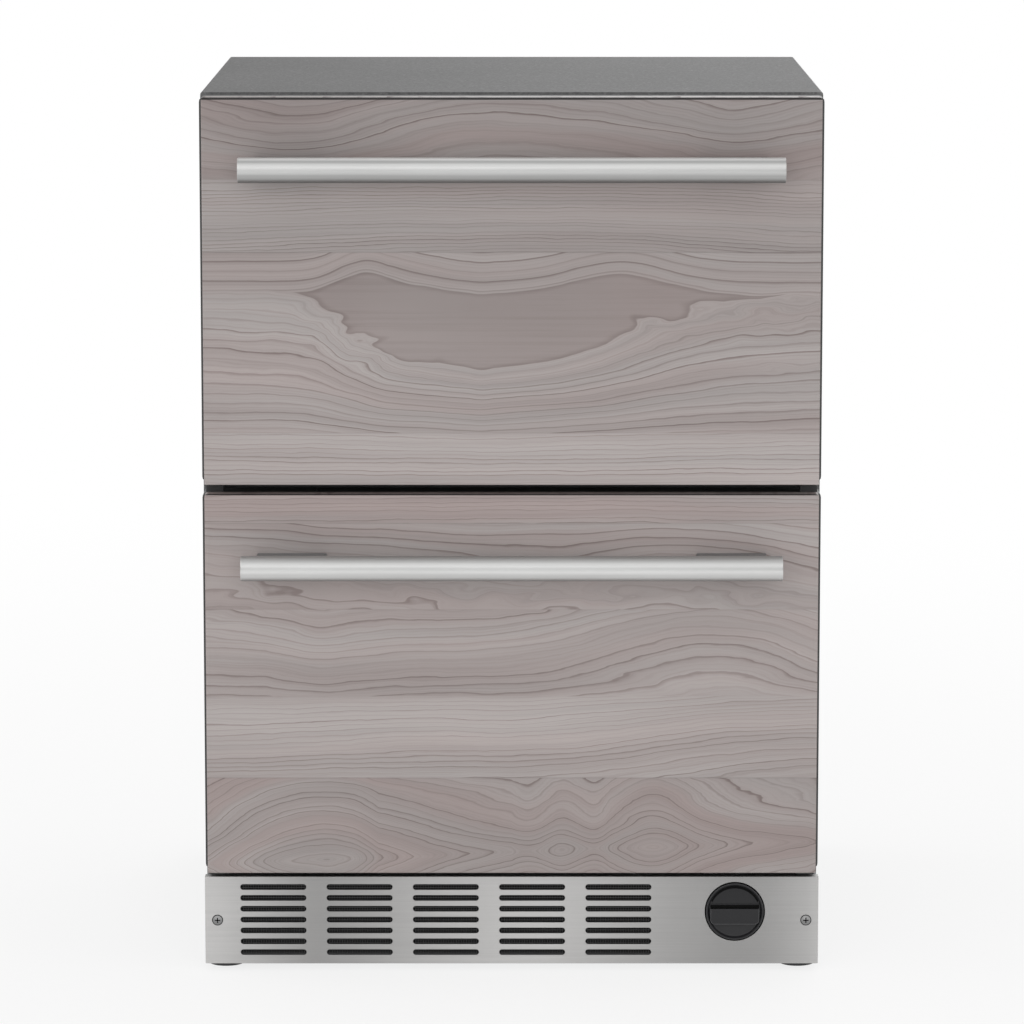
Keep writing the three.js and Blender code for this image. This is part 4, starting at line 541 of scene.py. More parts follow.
# ---- Wood ----
# Boards of each panel from the bottom up. level is the lower edge as a share of the panel's
# height, joint the darkness of the joint there, rings the growth rings per metre, fine the weight
# of the lines between them, swirl how far they wander, in metres. The rings are lifted by lift
# along curve, a list of (x, share of the lift), most at the height middle and less within tall of
# it. Where a board has an eye, its rings close round a line at middle, which leans by tilt, at the
# distances that curve gives. Where it has a heart, the wood from heart_start to heart_end is
# plain, and heart_end bulges by heart_bulge where the curve is halfway. tone is the board's
# brightness, warm its share of the warm wood and seed its place in the noise. PLAIN is a board
# without a joint, an eye or a heart.
PLAIN = {
    "joint": 0.0, "eye": 0, "tilt": 0.0, "heart_start": 9.0, "heart_end": 9.0, "heart_bulge": 0.0,
}
BOARDS = {
    "upper_wood_panel": [
        dict(PLAIN, level=0.0, rings=230, fine=0.9, swirl=0.01, tone=1.045, warm=0.15, seed=1.3,
             lift=-0.006, middle=0.1, tall=0.05,
             curve=[(-0.3, 0.2), (-0.03, 1.0), (0.1, 0.6), (0.3, 0.1)]),
        dict(PLAIN, level=0.135, joint=0.07, rings=105, fine=0.8, swirl=0.016, tone=0.91, warm=0.3,
             seed=7.7, lift=-0.092, middle=0.385, tall=0.078, heart_start=0.188,
             heart_end=0.187, heart_bulge=0.02,
             curve=[(-0.31, 0.0), (-0.23, 0.02), (-0.19, 0.08), (-0.15, 0.42), (-0.12, 0.68),
                    (-0.07, 0.86), (-0.04, 0.95), (-0.029, 1.0), (-0.018, 0.95), (0.02, 0.86),
                    (0.057, 0.75), (0.11, 0.48), (0.161, 0.21), (0.22, 0.06), (0.31, 0.0)]),
        dict(PLAIN, level=0.603, joint=0.14, rings=280, fine=0.8, swirl=0.01, tone=0.87, warm=0.25,
             seed=4.1, lift=0.014, middle=0.6, tall=0.06,
             curve=[(-0.3, 0.2), (-0.1, 0.8), (0.05, 1.0), (0.15, 0.55), (0.25, 0.0)]),
        dict(PLAIN, level=0.79, rings=135, fine=0.8, swirl=0.03, tone=0.79, warm=0.5, seed=2.6,
             lift=0.04, middle=1.0, tall=0.085,
             curve=[(-0.305, 0.75), (-0.21, 0.02), (-0.13, 0.5), (-0.045, 1.0), (0.09, 0.75),
                    (0.17, 0.35), (0.226, 0.0), (0.305, 0.7)]),
    ],
    "lower_wood_panel": [
        dict(PLAIN, level=0.0, rings=210, fine=0.7, swirl=0.008, tone=0.9, warm=0.5, seed=3.4,
             lift=0.085, middle=0.055, tall=0.1, eye=1, tilt=0.038,
             curve=[(-0.31, 0.68), (-0.27, 0.34), (-0.23, 0.1), (-0.187, 0.0), (-0.155, 0.06),
                    (-0.131, 0.27), (-0.074, 0.47), (0.0, 0.68), (0.025, 0.73), (0.05, 0.5),
                    (0.076, 0.74), (0.096, 0.65), (0.138, 0.32), (0.18, 0.65), (0.225, 0.78),
                    (0.29, 0.9), (0.31, 0.94)]),
        dict(PLAIN, level=0.254, joint=0.14, rings=210, fine=0.9, swirl=0.016, tone=0.99, warm=0.2,
             seed=9.6, lift=0.035, middle=0.36, tall=0.07,
             curve=[(-0.31, 0.1), (0.0, 0.15), (0.1, 0.4), (0.2, 0.85), (0.31, 1.0)]),
        dict(PLAIN, level=0.47, rings=125, fine=0.7, swirl=0.022, tone=0.97, warm=0.3, seed=9.6,
             lift=0.05, middle=0.66, tall=0.08,
             curve=[(-0.31, 0.25), (-0.24, 0.16), (-0.21, 0.0), (-0.188, -0.08), (-0.16, 0.02),
                    (-0.11, 0.15), (-0.02, 0.1), (0.06, 0.35), (0.14, 0.85), (0.2, 1.0),
                    (0.26, 0.85), (0.31, 0.4)]),
        dict(PLAIN, level=0.699, joint=0.05, rings=95, fine=0.45, swirl=0.05, tone=0.93, warm=0.35,
             seed=5.2, lift=0.05, middle=0.85, tall=0.1,
             curve=[(-0.31, 1.0), (-0.2, 0.7), (-0.05, 0.3), (0.05, 0.2), (0.12, 0.45), (0.2, 0.6),
                    (0.31, 0.0)]),
        dict(PLAIN, level=0.925, joint=0.12, rings=240, fine=0.9, swirl=0.008, tone=0.98, warm=0.5,
             seed=8.8, lift=0.004, middle=0.95, tall=0.05,
             curve=[(-0.3, 0.3), (0.0, 1.0), (0.3, 0.2)]),
    ],
}
# Oval patches: x, share of height, half width, half height, jaggedness in metres, tone.
PATCHES = {
    "upper_wood_panel": [
        (-0.12, 0.41, 0.06, 0.034, 0.09, 0.03),
        (0.13, 0.45, 0.06, 0.024, 0.06, 0.0),
        (0.26, 0.45, 0.05, 0.02, 0.05, 0.0),
        (0.258, 0.31, 0.03, 0.012, 0.02, 0.03),
        (-0.24, 0.36, 0.09, 0.05, 0.006, 0.06),
        (0.05, 0.64, 0.3, 0.02, 0.0, -0.07),
        (0.0, 0.52, 0.5, 0.04, 0.0, -0.09),
        (0.0, 0.74, 0.3, 0.03, 0.0, 0.03),
        (-0.25, 0.96, 0.09, 0.04, 0.006, -0.08),
        (-0.16, 0.85, 0.08, 0.02, 0.0, -0.05),
    ],
    "lower_wood_panel": [
        (0.0, 0.735, 0.24, 0.018, 0.026, -0.06),
        (-0.26, 0.77, 0.07, 0.05, 0.016, 0.03),
        (0.21, 0.725, 0.08, 0.018, 0.012, -0.02),
        (-0.12, 0.5, 0.22, 0.02, 0.004, -0.09),
        (0.22, 0.47, 0.12, 0.012, 0.003, -0.06),
        (-0.03, 0.36, 0.28, 0.03, 0.0, 0.07),
        (0.22, 0.31, 0.12, 0.02, 0.0, -0.05),
        (0.0, 0.24, 0.35, 0.018, 0.0, -0.04),
        (-0.19, 0.04, 0.04, 0.02, 0.004, -0.08),
    ],
}
# Height of the painted shadow line along the top of each front, where the gap behind the wood is
# in shade.
PAINTED_SHADOW_LINE = {"upper_wood_panel": 0.0026, "lower_wood_panel": 0.0008}
# Half the width that the curves cover.
WOOD_HALF = 0.31
# How round the rings close at the line of an eye, in metres.
EYE_ROUND = 0.003


def board_value(edges, values):
    """A value that steps from board to board; values holds one for each."""
    value = values[0]
    for before, after, edge in zip(values, values[1:], edges):
        value = edge * (after - before) + value
    return value


def bent(made, boards, edges, x):
    """The boards' curves at x, as a share of the full lift."""
    across = x.smooth(-WOOD_HALF, WOOD_HALF, kind="LINEAR")
    shares = []
    for board in boards:
        levels = [level for _, level in board["curve"]]
        least, most = min(levels), max(levels)
        stops = [
            ((place + WOOD_HALF) / (2 * WOOD_HALF), (level - least) / (most - least))
            for place, level in board["curve"]
        ]
        shares.append(made.ramp(across, stops) * (most - least) + least)
    return board_value(edges, shares)


def ring_field(of, share, low, height, x, z, wander):
    """How far up the rings a place is, in metres, and how much it is heart and heart's brink."""
    curve = share * of("lift")
    middle = (of("middle") * height + low) + x * of("tilt")
    away = z - middle
    fade = -((away / of("tall")) * (away / of("tall")))
    straight = (z - low) - curve * fade.exponential()
    # Round an eye the curve counts in full near the line, and less than half far from it.
    reach = (away * away + EYE_ROUND ** 2).power(0.5)
    closed = reach + curve * reach.smooth(0.02, 0.095, 1.0, 0.45)
    eye = of("eye")
    rise = straight * (1 - eye) + closed * eye + wander
    start = of("heart_start")
    # The heart ends highest where the swell is a half.
    swell = share.smooth(0.0, 1.0)
    end = of("heart_end") + swell * (1 - swell) * 4.0 * of("heart_bulge")
    past = (z - low) - end + wander * 0.4
    heart = (rise - start).smooth(0.0, 0.0015) * past.smooth(-0.0015, 0.0, 1.0, 0.0)
    brink = (rise - start).smooth(0.0, 0.008, 1.0, 0.0).greater(past.smooth(-0.006, 0.0))
    return rise.lesser(start) + past.greater(0.0), heart, heart * brink


def patch_sum(node, low, height, x, z):
    """The jaggedness and the tone that the patches of a panel add."""
    jag, shade = 0.0, 0.0
    for px, share, wide, tall, rough, dark in PATCHES[node]:
        across, up = (x - px) / wide, (z - (low + share * height)) / tall
        inside = (-(across * across + up * up)).exponential()
        if rough:
            jag = inside * rough + jag
        if dark:
            shade = inside * dark + shade
    return jag, shade


def wood(name, node, shadow_line_height):
    """Jointed boards whose growth rings follow the boards' curves and wander a little."""
    made = Finish(name)
    boards, (low, high) = BOARDS[node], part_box(node)
    height = high.z - low.z
    x, y, z = made.axes(made.place)
    edges = [z.above(low.z + board["level"] * height) for board in boards[1:]]

    def of(key):
        return board_value(edges, [board[key] for board in boards])

    seed = of("seed")
    flat = made.vector(x, seed, z)

    def drift(along, up, detail, shift=(0, 0, 0)):
        return made.noise((along, 1.0, up), detail, 0.5, shift, flat) - 0.5

    # The rings wander in long waves, in short waves, in jags where a patch says, and a little all
    # over.
    jag, shade = patch_sum(node, low.z, height, x, z)
    wander = drift(2.6, 13, 2.0) * of("swirl") + drift(13, 55, 3.0, (5, 0, 2)) * 0.007
    wander = wander + drift(24, 62, 1.2, (1, 0, 9)) * jag + drift(50, 90, 2.0) * 0.0016
    share = bent(made, boards, edges, x)
    rise, heart, brink = ring_field(of, share, low.z, height, x, z, wander)
    flow = made.vector(x, seed, rise)
    count = rise * of("rings")

    # Each ring: a dark line at its end, some darker than others, late wood before it, and two or
    # three fine lines between.
    ring = count.fraction()
    bold = made.node(
        "ShaderNodeTexWhiteNoise", {"noise_dimensions": "1D"}, {"W": count.floor() + seed},
    )
    line = ring.smooth(0.74, 0.93) * ring.smooth(0.95, 1.0, 1.0, 0.0)
    late = ring.smooth(0.1, 0.95) * ring.smooth(0.95, 1.0, 1.0, 0.0)
    between = (count * 3.3 + drift(6, 60, 2.0, (8, 0, 3)) * 1.2).fraction()
    fine = between.smooth(0.4, 0.88) * between.smooth(0.92, 1.0, 1.0, 0.0)
    # Streaks, bands and hues follow the rings; scratches, fibres and clouds run straight.
    streak = made.noise((4, 1, 700), 3.0, 0.6, (0, 0, 0), flow)
    band = made.noise((1.6, 1, 62), 2.0, 0.5, (3, 0, 8), flow)
    hue = made.noise((2.0, 1, 40), 3.0, 0.5, (2, 0, 6), flow)
    scratch = made.noise((3, 1, 260), 3.0, 0.6, (6, 0, 3), flat)
    fibre = made.noise((26, 1, 1900), 3.0, 0.7, (4, 0, 4), flat)
    cloud = made.noise((2.2, 1, 16), 3.0, 0.5, (7, 0, 1), flat)

    rings = line * bold.lerp(0.08, 0.66) + late * bold.lerp(0.04, 0.16) + fine * of("fine") * 0.13
    grain = rings * (1 - heart * 0.9) + streak.smooth(0.35, 0.75, -0.05, 0.1)
    grain = grain + fibre.smooth(0.4, 0.75, -0.03, 0.05)
    grain = grain + brink * 0.42 + heart * scratch.smooth(0.35, 0.7, -0.02, 0.16)
    warm = of("warm") * hue.smooth(0.32, 0.64, 0.25, 1.45) + heart * 0.3
    light = made.mix("wood_light", "wood_pink", warm.lesser(1.0))
    tinted = made.mix(light, "wood_dark", grain)
    level = (of("tone") + shade - heart * 0.16) * cloud.smooth(0.25, 0.75, 1.03, 0.96)
    level = level * band.smooth(0.32, 0.68, 1.07, 0.93)
    for board in boards[1:]:
        if board["joint"]:
            gap = z - (low.z + board["level"] * height)
            level = level * gap.absolute().smooth(0.0, 0.0012, 1 - board["joint"], 1.0)
    # A painted shadow line along the top of the front.
    front = y.smooth(low.y + 0.003, low.y + 0.005, 1.0, 0.0)
    level = level * (1 - z.smooth(high.z - shadow_line_height, high.z - shadow_line_height * 0.7) * front * 0.93)
    return made.done(
        Base_Color=made.shaded(tinted, level),
        Roughness=grain.smooth(0.0, 0.8, 0.45, 0.58),
        Specular_IOR_Level=0.3,
        Normal=made.bump(fibre * 0.5 - late * 0.5, 0.1, 0.0002),
    )


# ---- Meshes ----


SMOOTH_ANGLE = math.radians(32)
MERGE_DISTANCE = 1e-6
# A face whose normal lies along the sweep by this much is an end, and stays flat.
END_FACE = 0.9999


def new_object(name, data):
    made = bpy.data.objects.new(name, data)
    bpy.context.scene.collection.objects.link(made)
    return made


def opened(*meshes):
    """A bmesh of some meshes."""
    work = bmesh.new()
    for mesh in meshes:
        work.from_mesh(mesh)
    return work


def closed(name, work, smooth=None):
    """A new object from a bmesh, smooth over edges up to an angle where one is given."""
    mesh = bpy.data.meshes.new(name)
    work.to_mesh(mesh)
    work.free()
    if smooth is not None:
        mesh.polygons.foreach_set("use_smooth", [True] * len(mesh.polygons))
        mesh.set_sharp_from_angle(angle=smooth)
    return new_object(name, mesh)


def solid(name, work):
    """A smooth object from a bmesh, its doubles merged and its faces turned outwards."""
    bmesh.ops.remove_doubles(work, verts=work.verts, dist=MERGE_DISTANCE)
    bmesh.ops.recalc_face_normals(work, faces=work.faces)
    return closed(name, work, SMOOTH_ANGLE)


def joined(name, *objects):
    """One object of several, their meshes kept as separate shells."""
    work = opened(*[made.data for made in objects])
    for made in objects:
        bpy.data.objects.remove(made)
    return closed(name, work)


def evaluated(source):
    """The bmesh that an object comes to; the object goes."""
    ready = source.evaluated_get(bpy.context.evaluated_depsgraph_get())
    mesh = bpy.data.meshes.new_from_object(ready)
    bpy.data.objects.remove(source)
    work = opened(mesh)
    bpy.data.meshes.remove(mesh)
    return work


def placed(made, node, finish, replaces=True):
    """Rides a piece with a node's body, in the given finish, and lets it stand for the node."""
    made.data.materials.clear()
    made.data.materials.append(finish)
    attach(made, BODY_OF[node])
    if replaces:
        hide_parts(node)


def added(made, node, finish):
    """Rides one more piece with a node's body, in a finish of the table."""
    placed(made, node, material(finish), replaces=False)


AXES = {
    "X": Matrix(((0, 0, 1, 0), (1, 0, 0, 0), (0, 1, 0, 0), (0, 0, 0, 1))),
    "Y": Matrix(((1, 0, 0, 0), (0, 0, -1, 0), (0, 1, 0, 0), (0, 0, 0, 1))),
    "Z": Matrix.Identity(4),
}


def prism(name, outlines, start, end, axis, edge=0.0, steps=1):
    """Closed outlines, holes included, swept along the axis they lie across, with round edges."""
    curve = bpy.data.curves.new(name, "CURVE")
    curve.dimensions = "2D"
    curve.fill_mode = "BOTH"
    curve.extrude = abs(end - start) / 2 - edge
    curve.bevel_depth = edge
    curve.offset = -edge
    curve.bevel_resolution = steps
    for points in outlines:
        spline = curve.splines.new("POLY")
        spline.points.add(len(points) - 1)
        for point, (a, b) in zip(spline.points, points):
            point.co = (a, b, 0, 1)
        spline.use_cyclic_u = True
    work = evaluated(new_object(name + "_outline", curve))
    bpy.data.curves.remove(curve)
    along = "XYZ".index(axis)
    shift = Vector()
    shift[along] = (start + end) / 2
    bmesh.ops.transform(work, matrix=Matrix.Translation(shift) @ AXES[axis], verts=work.verts)
    made = solid(name, work)
    for face in made.data.polygons:
        face.use_smooth = abs(face.normal[along]) < END_FACE
    return made


def turned(name, profile, centre, axis, steps):
    """A profile of (radius, along) points turned round an axis through a centre."""
    work = bmesh.new()
    verts = [work.verts.new((radius, 0, along)) for radius, along in profile]
    edges = [work.edges.new(pair) for pair in zip(verts, verts[1:])]
    bmesh.ops.spin(
        work, geom=verts + edges, cent=(0, 0, 0), axis=(0, 0, 1), angle=2 * math.pi,
        steps=steps, use_merge=True,
    )
    bmesh.ops.transform(work, matrix=Matrix.Translation(centre) @ AXES[axis], verts=work.verts)
    return solid(name, work)


def arc(a, b, radius, start, end, steps):
    """Points on part of a circle, angles in degrees."""
    angles = [math.radians(start + (end - start) * i / steps) for i in range(steps + 1)]
    return [(a + radius * math.cos(t), b + radius * math.sin(t)) for t in angles]


def circle(a, b, radius, steps):
    return arc(a, b, radius, 0, 360, steps)[:-1]


def rounded(a0, a1, b0, b1, r, steps=6):
    """A rectangle's outline with round corners of radius r."""
    return [
        *arc(a1 - r, b0 + r, r, -90, 0, steps),
        *arc(a1 - r, b1 - r, r, 0, 90, steps),
        *arc(a0 + r, b1 - r, r, 90, 180, steps),
        *arc(a0 + r, b0 + r, r, 180, 270, steps),
    ]


def obround(a, b, wide, tall, steps=8):
    """A slot's outline; its ends stop just short of a half circle, so that no points meet."""
    return rounded(a - wide / 2, a + wide / 2, b - tall / 2, b + tall / 2, tall / 2 * 0.999, steps)


def cup(a, top, foot, half, radius, steps=6):
    """An open outline down, along and up again, with two round corners."""
    return [
        (a - half, top),
        *arc(a - half + radius, foot + radius, radius, 180, 270, steps),
        *arc(a + half - radius, foot + radius, radius, 270, 360, steps),
        (a + half, top),
    ]


def softened(node, width, steps=2):
    """A merged copy of a node with rounded edges, which stands for it."""
    work = opened(frame["nodes"][node].data)
    bmesh.ops.remove_doubles(work, verts=work.verts, dist=MERGE_DISTANCE)
    bmesh.ops.join_triangles(
        work, faces=work.faces, angle_face_threshold=math.radians(0.5),
        angle_shape_threshold=math.radians(180),
    )
    smooth = math.radians(ROUND_SMOOTH.get(node, USUAL_SMOOTH))
    made = closed(node + "_finished", work, smooth)
    if width:
        bevel = made.modifiers.new("edges", "BEVEL")
        bevel.width = width
        bevel.segments = steps
        bevel.limit_method = "ANGLE"
        bevel.harden_normals = True
        bevel.angle_limit = math.radians(50)
    placed(made, node, material(SLOT_OF[node]))


# ---- Repeated pieces ----


class Recipe(Nodes):
    """A Geometry Nodes tree that sets one piece on each point, with named inputs.

    The material is one more input.
    """

    def __init__(self, name, inputs):
        super().__init__(bpy.data.node_groups.new(name, "GeometryNodeTree"))
        face = self.tree.interface
        for way in ("INPUT", "OUTPUT"):
            face.new_socket("Geometry", in_out=way, socket_type="NodeSocketGeometry")
        self.inputs = {}
        for label, (kind, default) in {**inputs, "Material": ("Material", None)}.items():
            socket = face.new_socket(label, in_out="INPUT", socket_type="NodeSocket" + kind)
            if default is not None:
                socket.default_value = default
            self.inputs[label] = socket.identifier
        self.group = self.tree.nodes.new("NodeGroupInput")

    def input(self, label):
        return Field(self, self.group.outputs[label])

    def closes(self, piece):
        """Ends the tree with the piece on each point, made real and given its material."""
        values = {0: self.input("Geometry"), "Instance": piece}
        pieces = self.node("GeometryNodeInstanceOnPoints", None, values)
        real = self.node("GeometryNodeRealizeInstances", None, (pieces,))
        values = {0: real, "Material": self.input("Material")}
        painted = self.node("GeometryNodeSetMaterial", None, values)
        self.show(painted, "NodeGroupOutput")
        return self

    def made_on(self, name, points, finish, values):
        """The tree's result on a set of points, as a plain object."""
        mesh = bpy.data.meshes.new(name + "_points")
        mesh.from_pydata(points, [], [])
        source = new_object(name + "_source", mesh)
        modifier = source.modifiers.new("recipe", "NODES")
        modifier.node_group = self.tree
        for label, value in {**values, "Material": finish}.items():
            modifier[self.inputs[label]] = value
        work = evaluated(source)
        bpy.data.meshes.remove(mesh)
        # placed() gives the result one material, so that its faces need the first slot.
        for face in work.faces:
            face.material_index = 0
        return solid(name, work)


def screw_recipe():
    """Domed heads with a cross recess."""
    recipe = Recipe("Screws", {
        "Radius": ("Float", 0.0045),
        "Height": ("Float", 0.0022),
        "Dome": ("Float", 0.62),
        "Turn": ("Vector", (0, 0, 0)),
    })
    radius, height = recipe.input("Radius"), recipe.input("Height")
    disc = recipe.node("GeometryNodeMeshCylinder", None, {
        "Vertices": 28, "Side Segments": 1, "Fill Segments": 4, "Radius": radius, "Depth": height,
    })
    x, y, z = recipe.axes(recipe.node("GeometryNodeInputPosition"))
    drop = (x * x + y * y) / (radius * radius) * height * (recipe.input("Dome") * -1.0)
    raised = recipe.node("GeometryNodeSetPosition", None, {
        0: disc, "Selection": z.above(0.0), "Offset": recipe.vector(0, 0, drop),
    })
    long, short, deep = radius * 1.15, radius * 0.24, height * 0.9
    lift = recipe.vector(0, 0, height * 0.5)
    arms = []
    for size in (recipe.vector(long, short, deep), recipe.vector(short, long, deep)):
        arm = recipe.node("GeometryNodeMeshCube", None, {"Size": size})
        arms.append(recipe.node("GeometryNodeTransform", None, {0: arm, "Translation": lift}))

    def cut(operation, values):
        settings = {"operation": operation, "solver": "EXACT"}
        return recipe.node("GeometryNodeMeshBoolean", settings, values)

    head = cut("DIFFERENCE", {0: raised, 1: cut("UNION", {1: arms})})
    values = {0: head, "Rotation": recipe.input("Turn")}
    return recipe.closes(recipe.node("GeometryNodeTransform", None, values))


def bar_recipe():
    """Plain bars or plates."""
    recipe = Recipe("Bars", {"Size": ("Vector", (0.001, 0.01, 0.01))})
    size = {"Size": recipe.input("Size")}
    return recipe.closes(recipe.node("GeometryNodeMeshCube", None, size))


# ---- Pieces ----


def finish_nodes():
    """Every carried-over solid gets the finish of its slot."""
    for node, made in frame["nodes"].items():
        slot = SLOT_OF[node]
        if slot == "wood_veneer":
            finish = material(node, wood, node, PAINTED_SHADOW_LINE[node])
        else:
            finish = material(slot)
        made.data.materials.clear()
        made.data.materials.append(finish)


# Rounding of the finished nodes' edges; with 0.0 their faces are only smoothed.
SOFT_EDGES = {
    "cabinet_wrap": 0.0004, "back_panel": 0.0004, "control_panel": 0.0012, "light_bar": 0.001,
    "ice_maker": 0.001, "evaporator_cover": 0.0008, "air_duct": 0.001, "drain_pan": 0.0008,
    "upper_bin": 0.001, "lower_bin": 0.001, "upper_door_pan": 0.0003, "lower_door_pan": 0.0003,
    "upper_door_liner": 0.0015, "lower_door_liner": 0.0015, "compressor": 0.001,
    "filter_head": 0.0006, "water_valve": 0.0006, "filter_cartridge": 0.0008,
    "condenser_fan_frame": 0.0006, "condenser_fan": 0.0003, "evaporator_fan": 0.0003,
    "discharge_line": 0.0, "suction_line": 0.0,
}
# Degrees up to which two faces run into each other smoothly, where it isn't the usual angle.
USUAL_SMOOTH = 35
ROUND_SMOOTH = {
    "compressor": 40, "filter_head": 40, "water_valve": 40, "filter_cartridge": 40,
    "condenser_fan_frame": 40, "condenser_fan": 40, "evaporator_fan": 40,
    "discharge_line": 75, "suction_line": 75,
}


def make_shell():
    """Moulded and folded pieces with the small rounding of their edges."""
    for node, width in SOFT_EDGES.items():
        softened(node, width)


def made_screws(name, node, points, finish, values, seat=None, recess=None):
    """Screws on a node, with a painted shadow round each head and in its recess where they are
    given, from y to y.
    """
    screws = screw_recipe().made_on(name + "s", points, material(finish), values)
    added(screws, node, finish)
    if seat:
        painted_shadows = [
            painted_screw_shadow(f"{name}_mark_{i}", point, values["Radius"], seat, recess)
            for i, point in enumerate(points)
        ]
        added(joined(name + "_marks", *painted_shadows), node, "groove_black")


def painted_screw_shadow(name, point, radius, seat, recess):
    """Painted shadows: a dark ring round a screw head and the dark bottom of its cross recess,
    each from y to y.
    """
    x, z = point[0], point[2]
    arm, half, edge = radius * 0.56, radius * 0.13, 0.00002
    cross = [
        (x + a * u - b * v, z + a * v + b * u)
        for u, v in ((1, 0), (0, 1), (-1, 0), (0, -1))
        for a, b in ((half, -half), (arm, -half), (arm, half))
    ]
    rings = [circle(x, z, radius * share, 24) for share in (1.16, 0.97)]
    return joined(
        name,
        prism(name + "_cross", [cross], *recess, "Y", edge=edge),
        prism(name + "_seat", rings, *seat, "Y", edge=edge),
    )


# The louvres: the centres of the first and the last column from the plate's left end and from the
# cap, and the lift of the middle row above the plate's middle.
LOUVRES = {
    "columns": 5, "rows": 7, "wide": 0.0651, "tall": 0.0056, "pitch": 0.011,
    "from_end": 0.0675, "from_cap": 0.08645, "lift": 0.0004,
}


def make_kick_plate():
    """Folded front sheet with its louvres, the cap's hole and two screws."""
    low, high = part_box("kick_plate")
    cap_low, cap_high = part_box("filter_cap")
    cap = (cap_low + cap_high) / 2
    sheet, cap_gap, corner_round, fold_round = 0.0012, 0.001, 0.0016, 0.0004
    face_edge, fold_edge, top_gap = 0.0003, 0.0002, 0.00005
    left, right = low.x + LOUVRES["from_end"], cap_low.x - LOUVRES["from_cap"]
    middle = (low.z + high.z) / 2
    outlines = [rounded(low.x, high.x, low.z, high.z, corner_round)]
    for column in range(LOUVRES["columns"]):
        x = left + (right - left) * column / (LOUVRES["columns"] - 1)
        for row in range(LOUVRES["rows"]):
            z = middle + LOUVRES["lift"] + (row - (LOUVRES["rows"] - 1) / 2) * LOUVRES["pitch"]
            outlines.append(obround(x, z, LOUVRES["wide"], LOUVRES["tall"]))
    outlines.append(circle(cap.x, cap.z, (cap_high.x - cap_low.x) / 2 + cap_gap, 96))
    parts = [prism("kick_face", outlines, low.y, low.y + sheet, "Y", edge=face_edge, steps=2)]
    folds = (
        (low.x, high.x, high.z - sheet, high.z - top_gap),
        (low.x, low.x + sheet, low.z, high.z),
        (high.x - sheet, high.x, low.z, high.z),
    )
    for i, (x0, x1, z0, z1) in enumerate(folds):
        outline = rounded(x0, x1, low.y + sheet / 2, high.y, fold_round)
        parts.append(prism(f"kick_fold_{i}", [outline], z0, z1, "Z", edge=fold_edge))
    placed(joined("kick_plate_sheet", *parts), "kick_plate", material("kick_steel"))
    screw_inset, screw_height, stands_out = 0.0122, 0.0022, 0.0006
    points = [(side * (high.x - screw_inset), low.y - stands_out, middle) for side in (-1, 1)]
    turn = (math.radians(90), 0, 0)
    values = {"Radius": sizes().screw_radius, "Height": screw_height, "Turn": turn}
    made_screws(
        "kick_screw", "kick_plate", points, "screw_steel", values,
        seat=(low.y - 0.0003, low.y + 0.0003), recess=(low.y - 0.0011, low.y - 0.0008),
    )


def make_filter_cap():
    """Turned cap with a sunk face, a thin rim and a grip bar below a finger groove."""
    low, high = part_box("filter_cap")
    centre = (low + high) / 2
    radius, face = (high.x - low.x) / 2, low.y
    inner, sunk, skirt, wall = radius - 0.0022, face + 0.003, face + 0.009, 0.002
    hub, bore, fillet, round_edge = 0.0153, 0.0123, 0.0009, 0.0007
    back, hub_floor = sunk + 0.0025, sunk + 0.004
    profile = [
        (0, sunk),
        (inner - 0.0016, sunk),
        *arc(inner - 0.0016, sunk - fillet, fillet, 90, 20, 4),
        (inner, face + 0.0005),
        (inner + 0.0005, face),
        *arc(radius - round_edge, face + round_edge, round_edge, -90, 0, 5),
        (radius, skirt),
        (radius - wall, skirt),
        (radius - wall, back),
        (hub, back),
        (hub, high.y),
        (bore, high.y),
        (bore, hub_floor),
        (0, hub_floor),
    ]
    profile = [(r, -y) for r, y in profile]
    body = turned("cap_disc", profile, (centre.x, 0, centre.z), "Y", sizes().round_steps)
    # The grip, whose height counts the groove above it and the thin brow over that.
    half, tall, drop, groove, brow = 0.0493 / 2, 0.0199, 0.003, 0.0042, 0.0006
    top, foot = centre.z - drop + tall / 2, centre.z - drop - tall / 2
    grip_top, side = top - groove, half - 0.0005
    grip_back = sunk + 0.0004
    bar = cup(centre.x, grip_top, foot, side, 0.004)
    grip = prism("cap_grip", [bar], face, grip_back, "Y", edge=0.0007, steps=3)
    lip = [
        (centre.x - half, top), (centre.x - half, top - brow),
        (centre.x + half, top - brow), (centre.x + half, top),
    ]
    over = prism("cap_brow", [lip], face + 0.0018, grip_back, "Y", edge=0.0002)
    cap = joined("filter_cap_turned", body, grip, over)
    placed(cap, "filter_cap", material("cap_plastic"))
    # Painted shadows: a black sheet in the groove, and a black crescent at the top of the sunk
    # face, where the rim shades it.
    pocket = rounded(centre.x - side, centre.x + side, grip_top, top - brow, 0.0012, 4)
    gap, thin, offset = 0.0003, 0.0016, 0.0018
    crescent = [
        *arc(centre.x, centre.z, inner - gap, 25, 155, 30),
        *arc(centre.x, centre.z - offset, inner - gap - thin, 155, 25, 30),
    ]
    dark = [
        prism(f"cap_shadow_{i}", [outline], sunk - 0.00015, sunk + 0.0002, "Y", edge=0.00005)
        for i, outline in enumerate((pocket, crescent))
    ]
    added(joined("cap_shadows", *dark), "filter_cap", "groove_black")
    # Painted highlights: a light line round the grip and a light ring on the rim.
    wide, deep, line = half - 0.0006, 0.0042, 0.0005
    outside = cup(centre.x, grip_top, foot, wide, deep)
    inside = cup(centre.x, grip_top, foot + line, wide - line, deep - line)
    rings = [circle(centre.x, centre.z, radius - inset, 90) for inset in (0.0004, 0.0012)]
    highlight_pieces = [
        prism(f"cap_edge_{i}", outlines, face + 0.00002, face + 0.0008, "Y", edge=0.0001)
        for i, outlines in enumerate(([outside + inside[::-1]], rings))
    ]
    added(joined("cap_painted_highlights", *highlight_pieces), "filter_cap", "cap_edge")


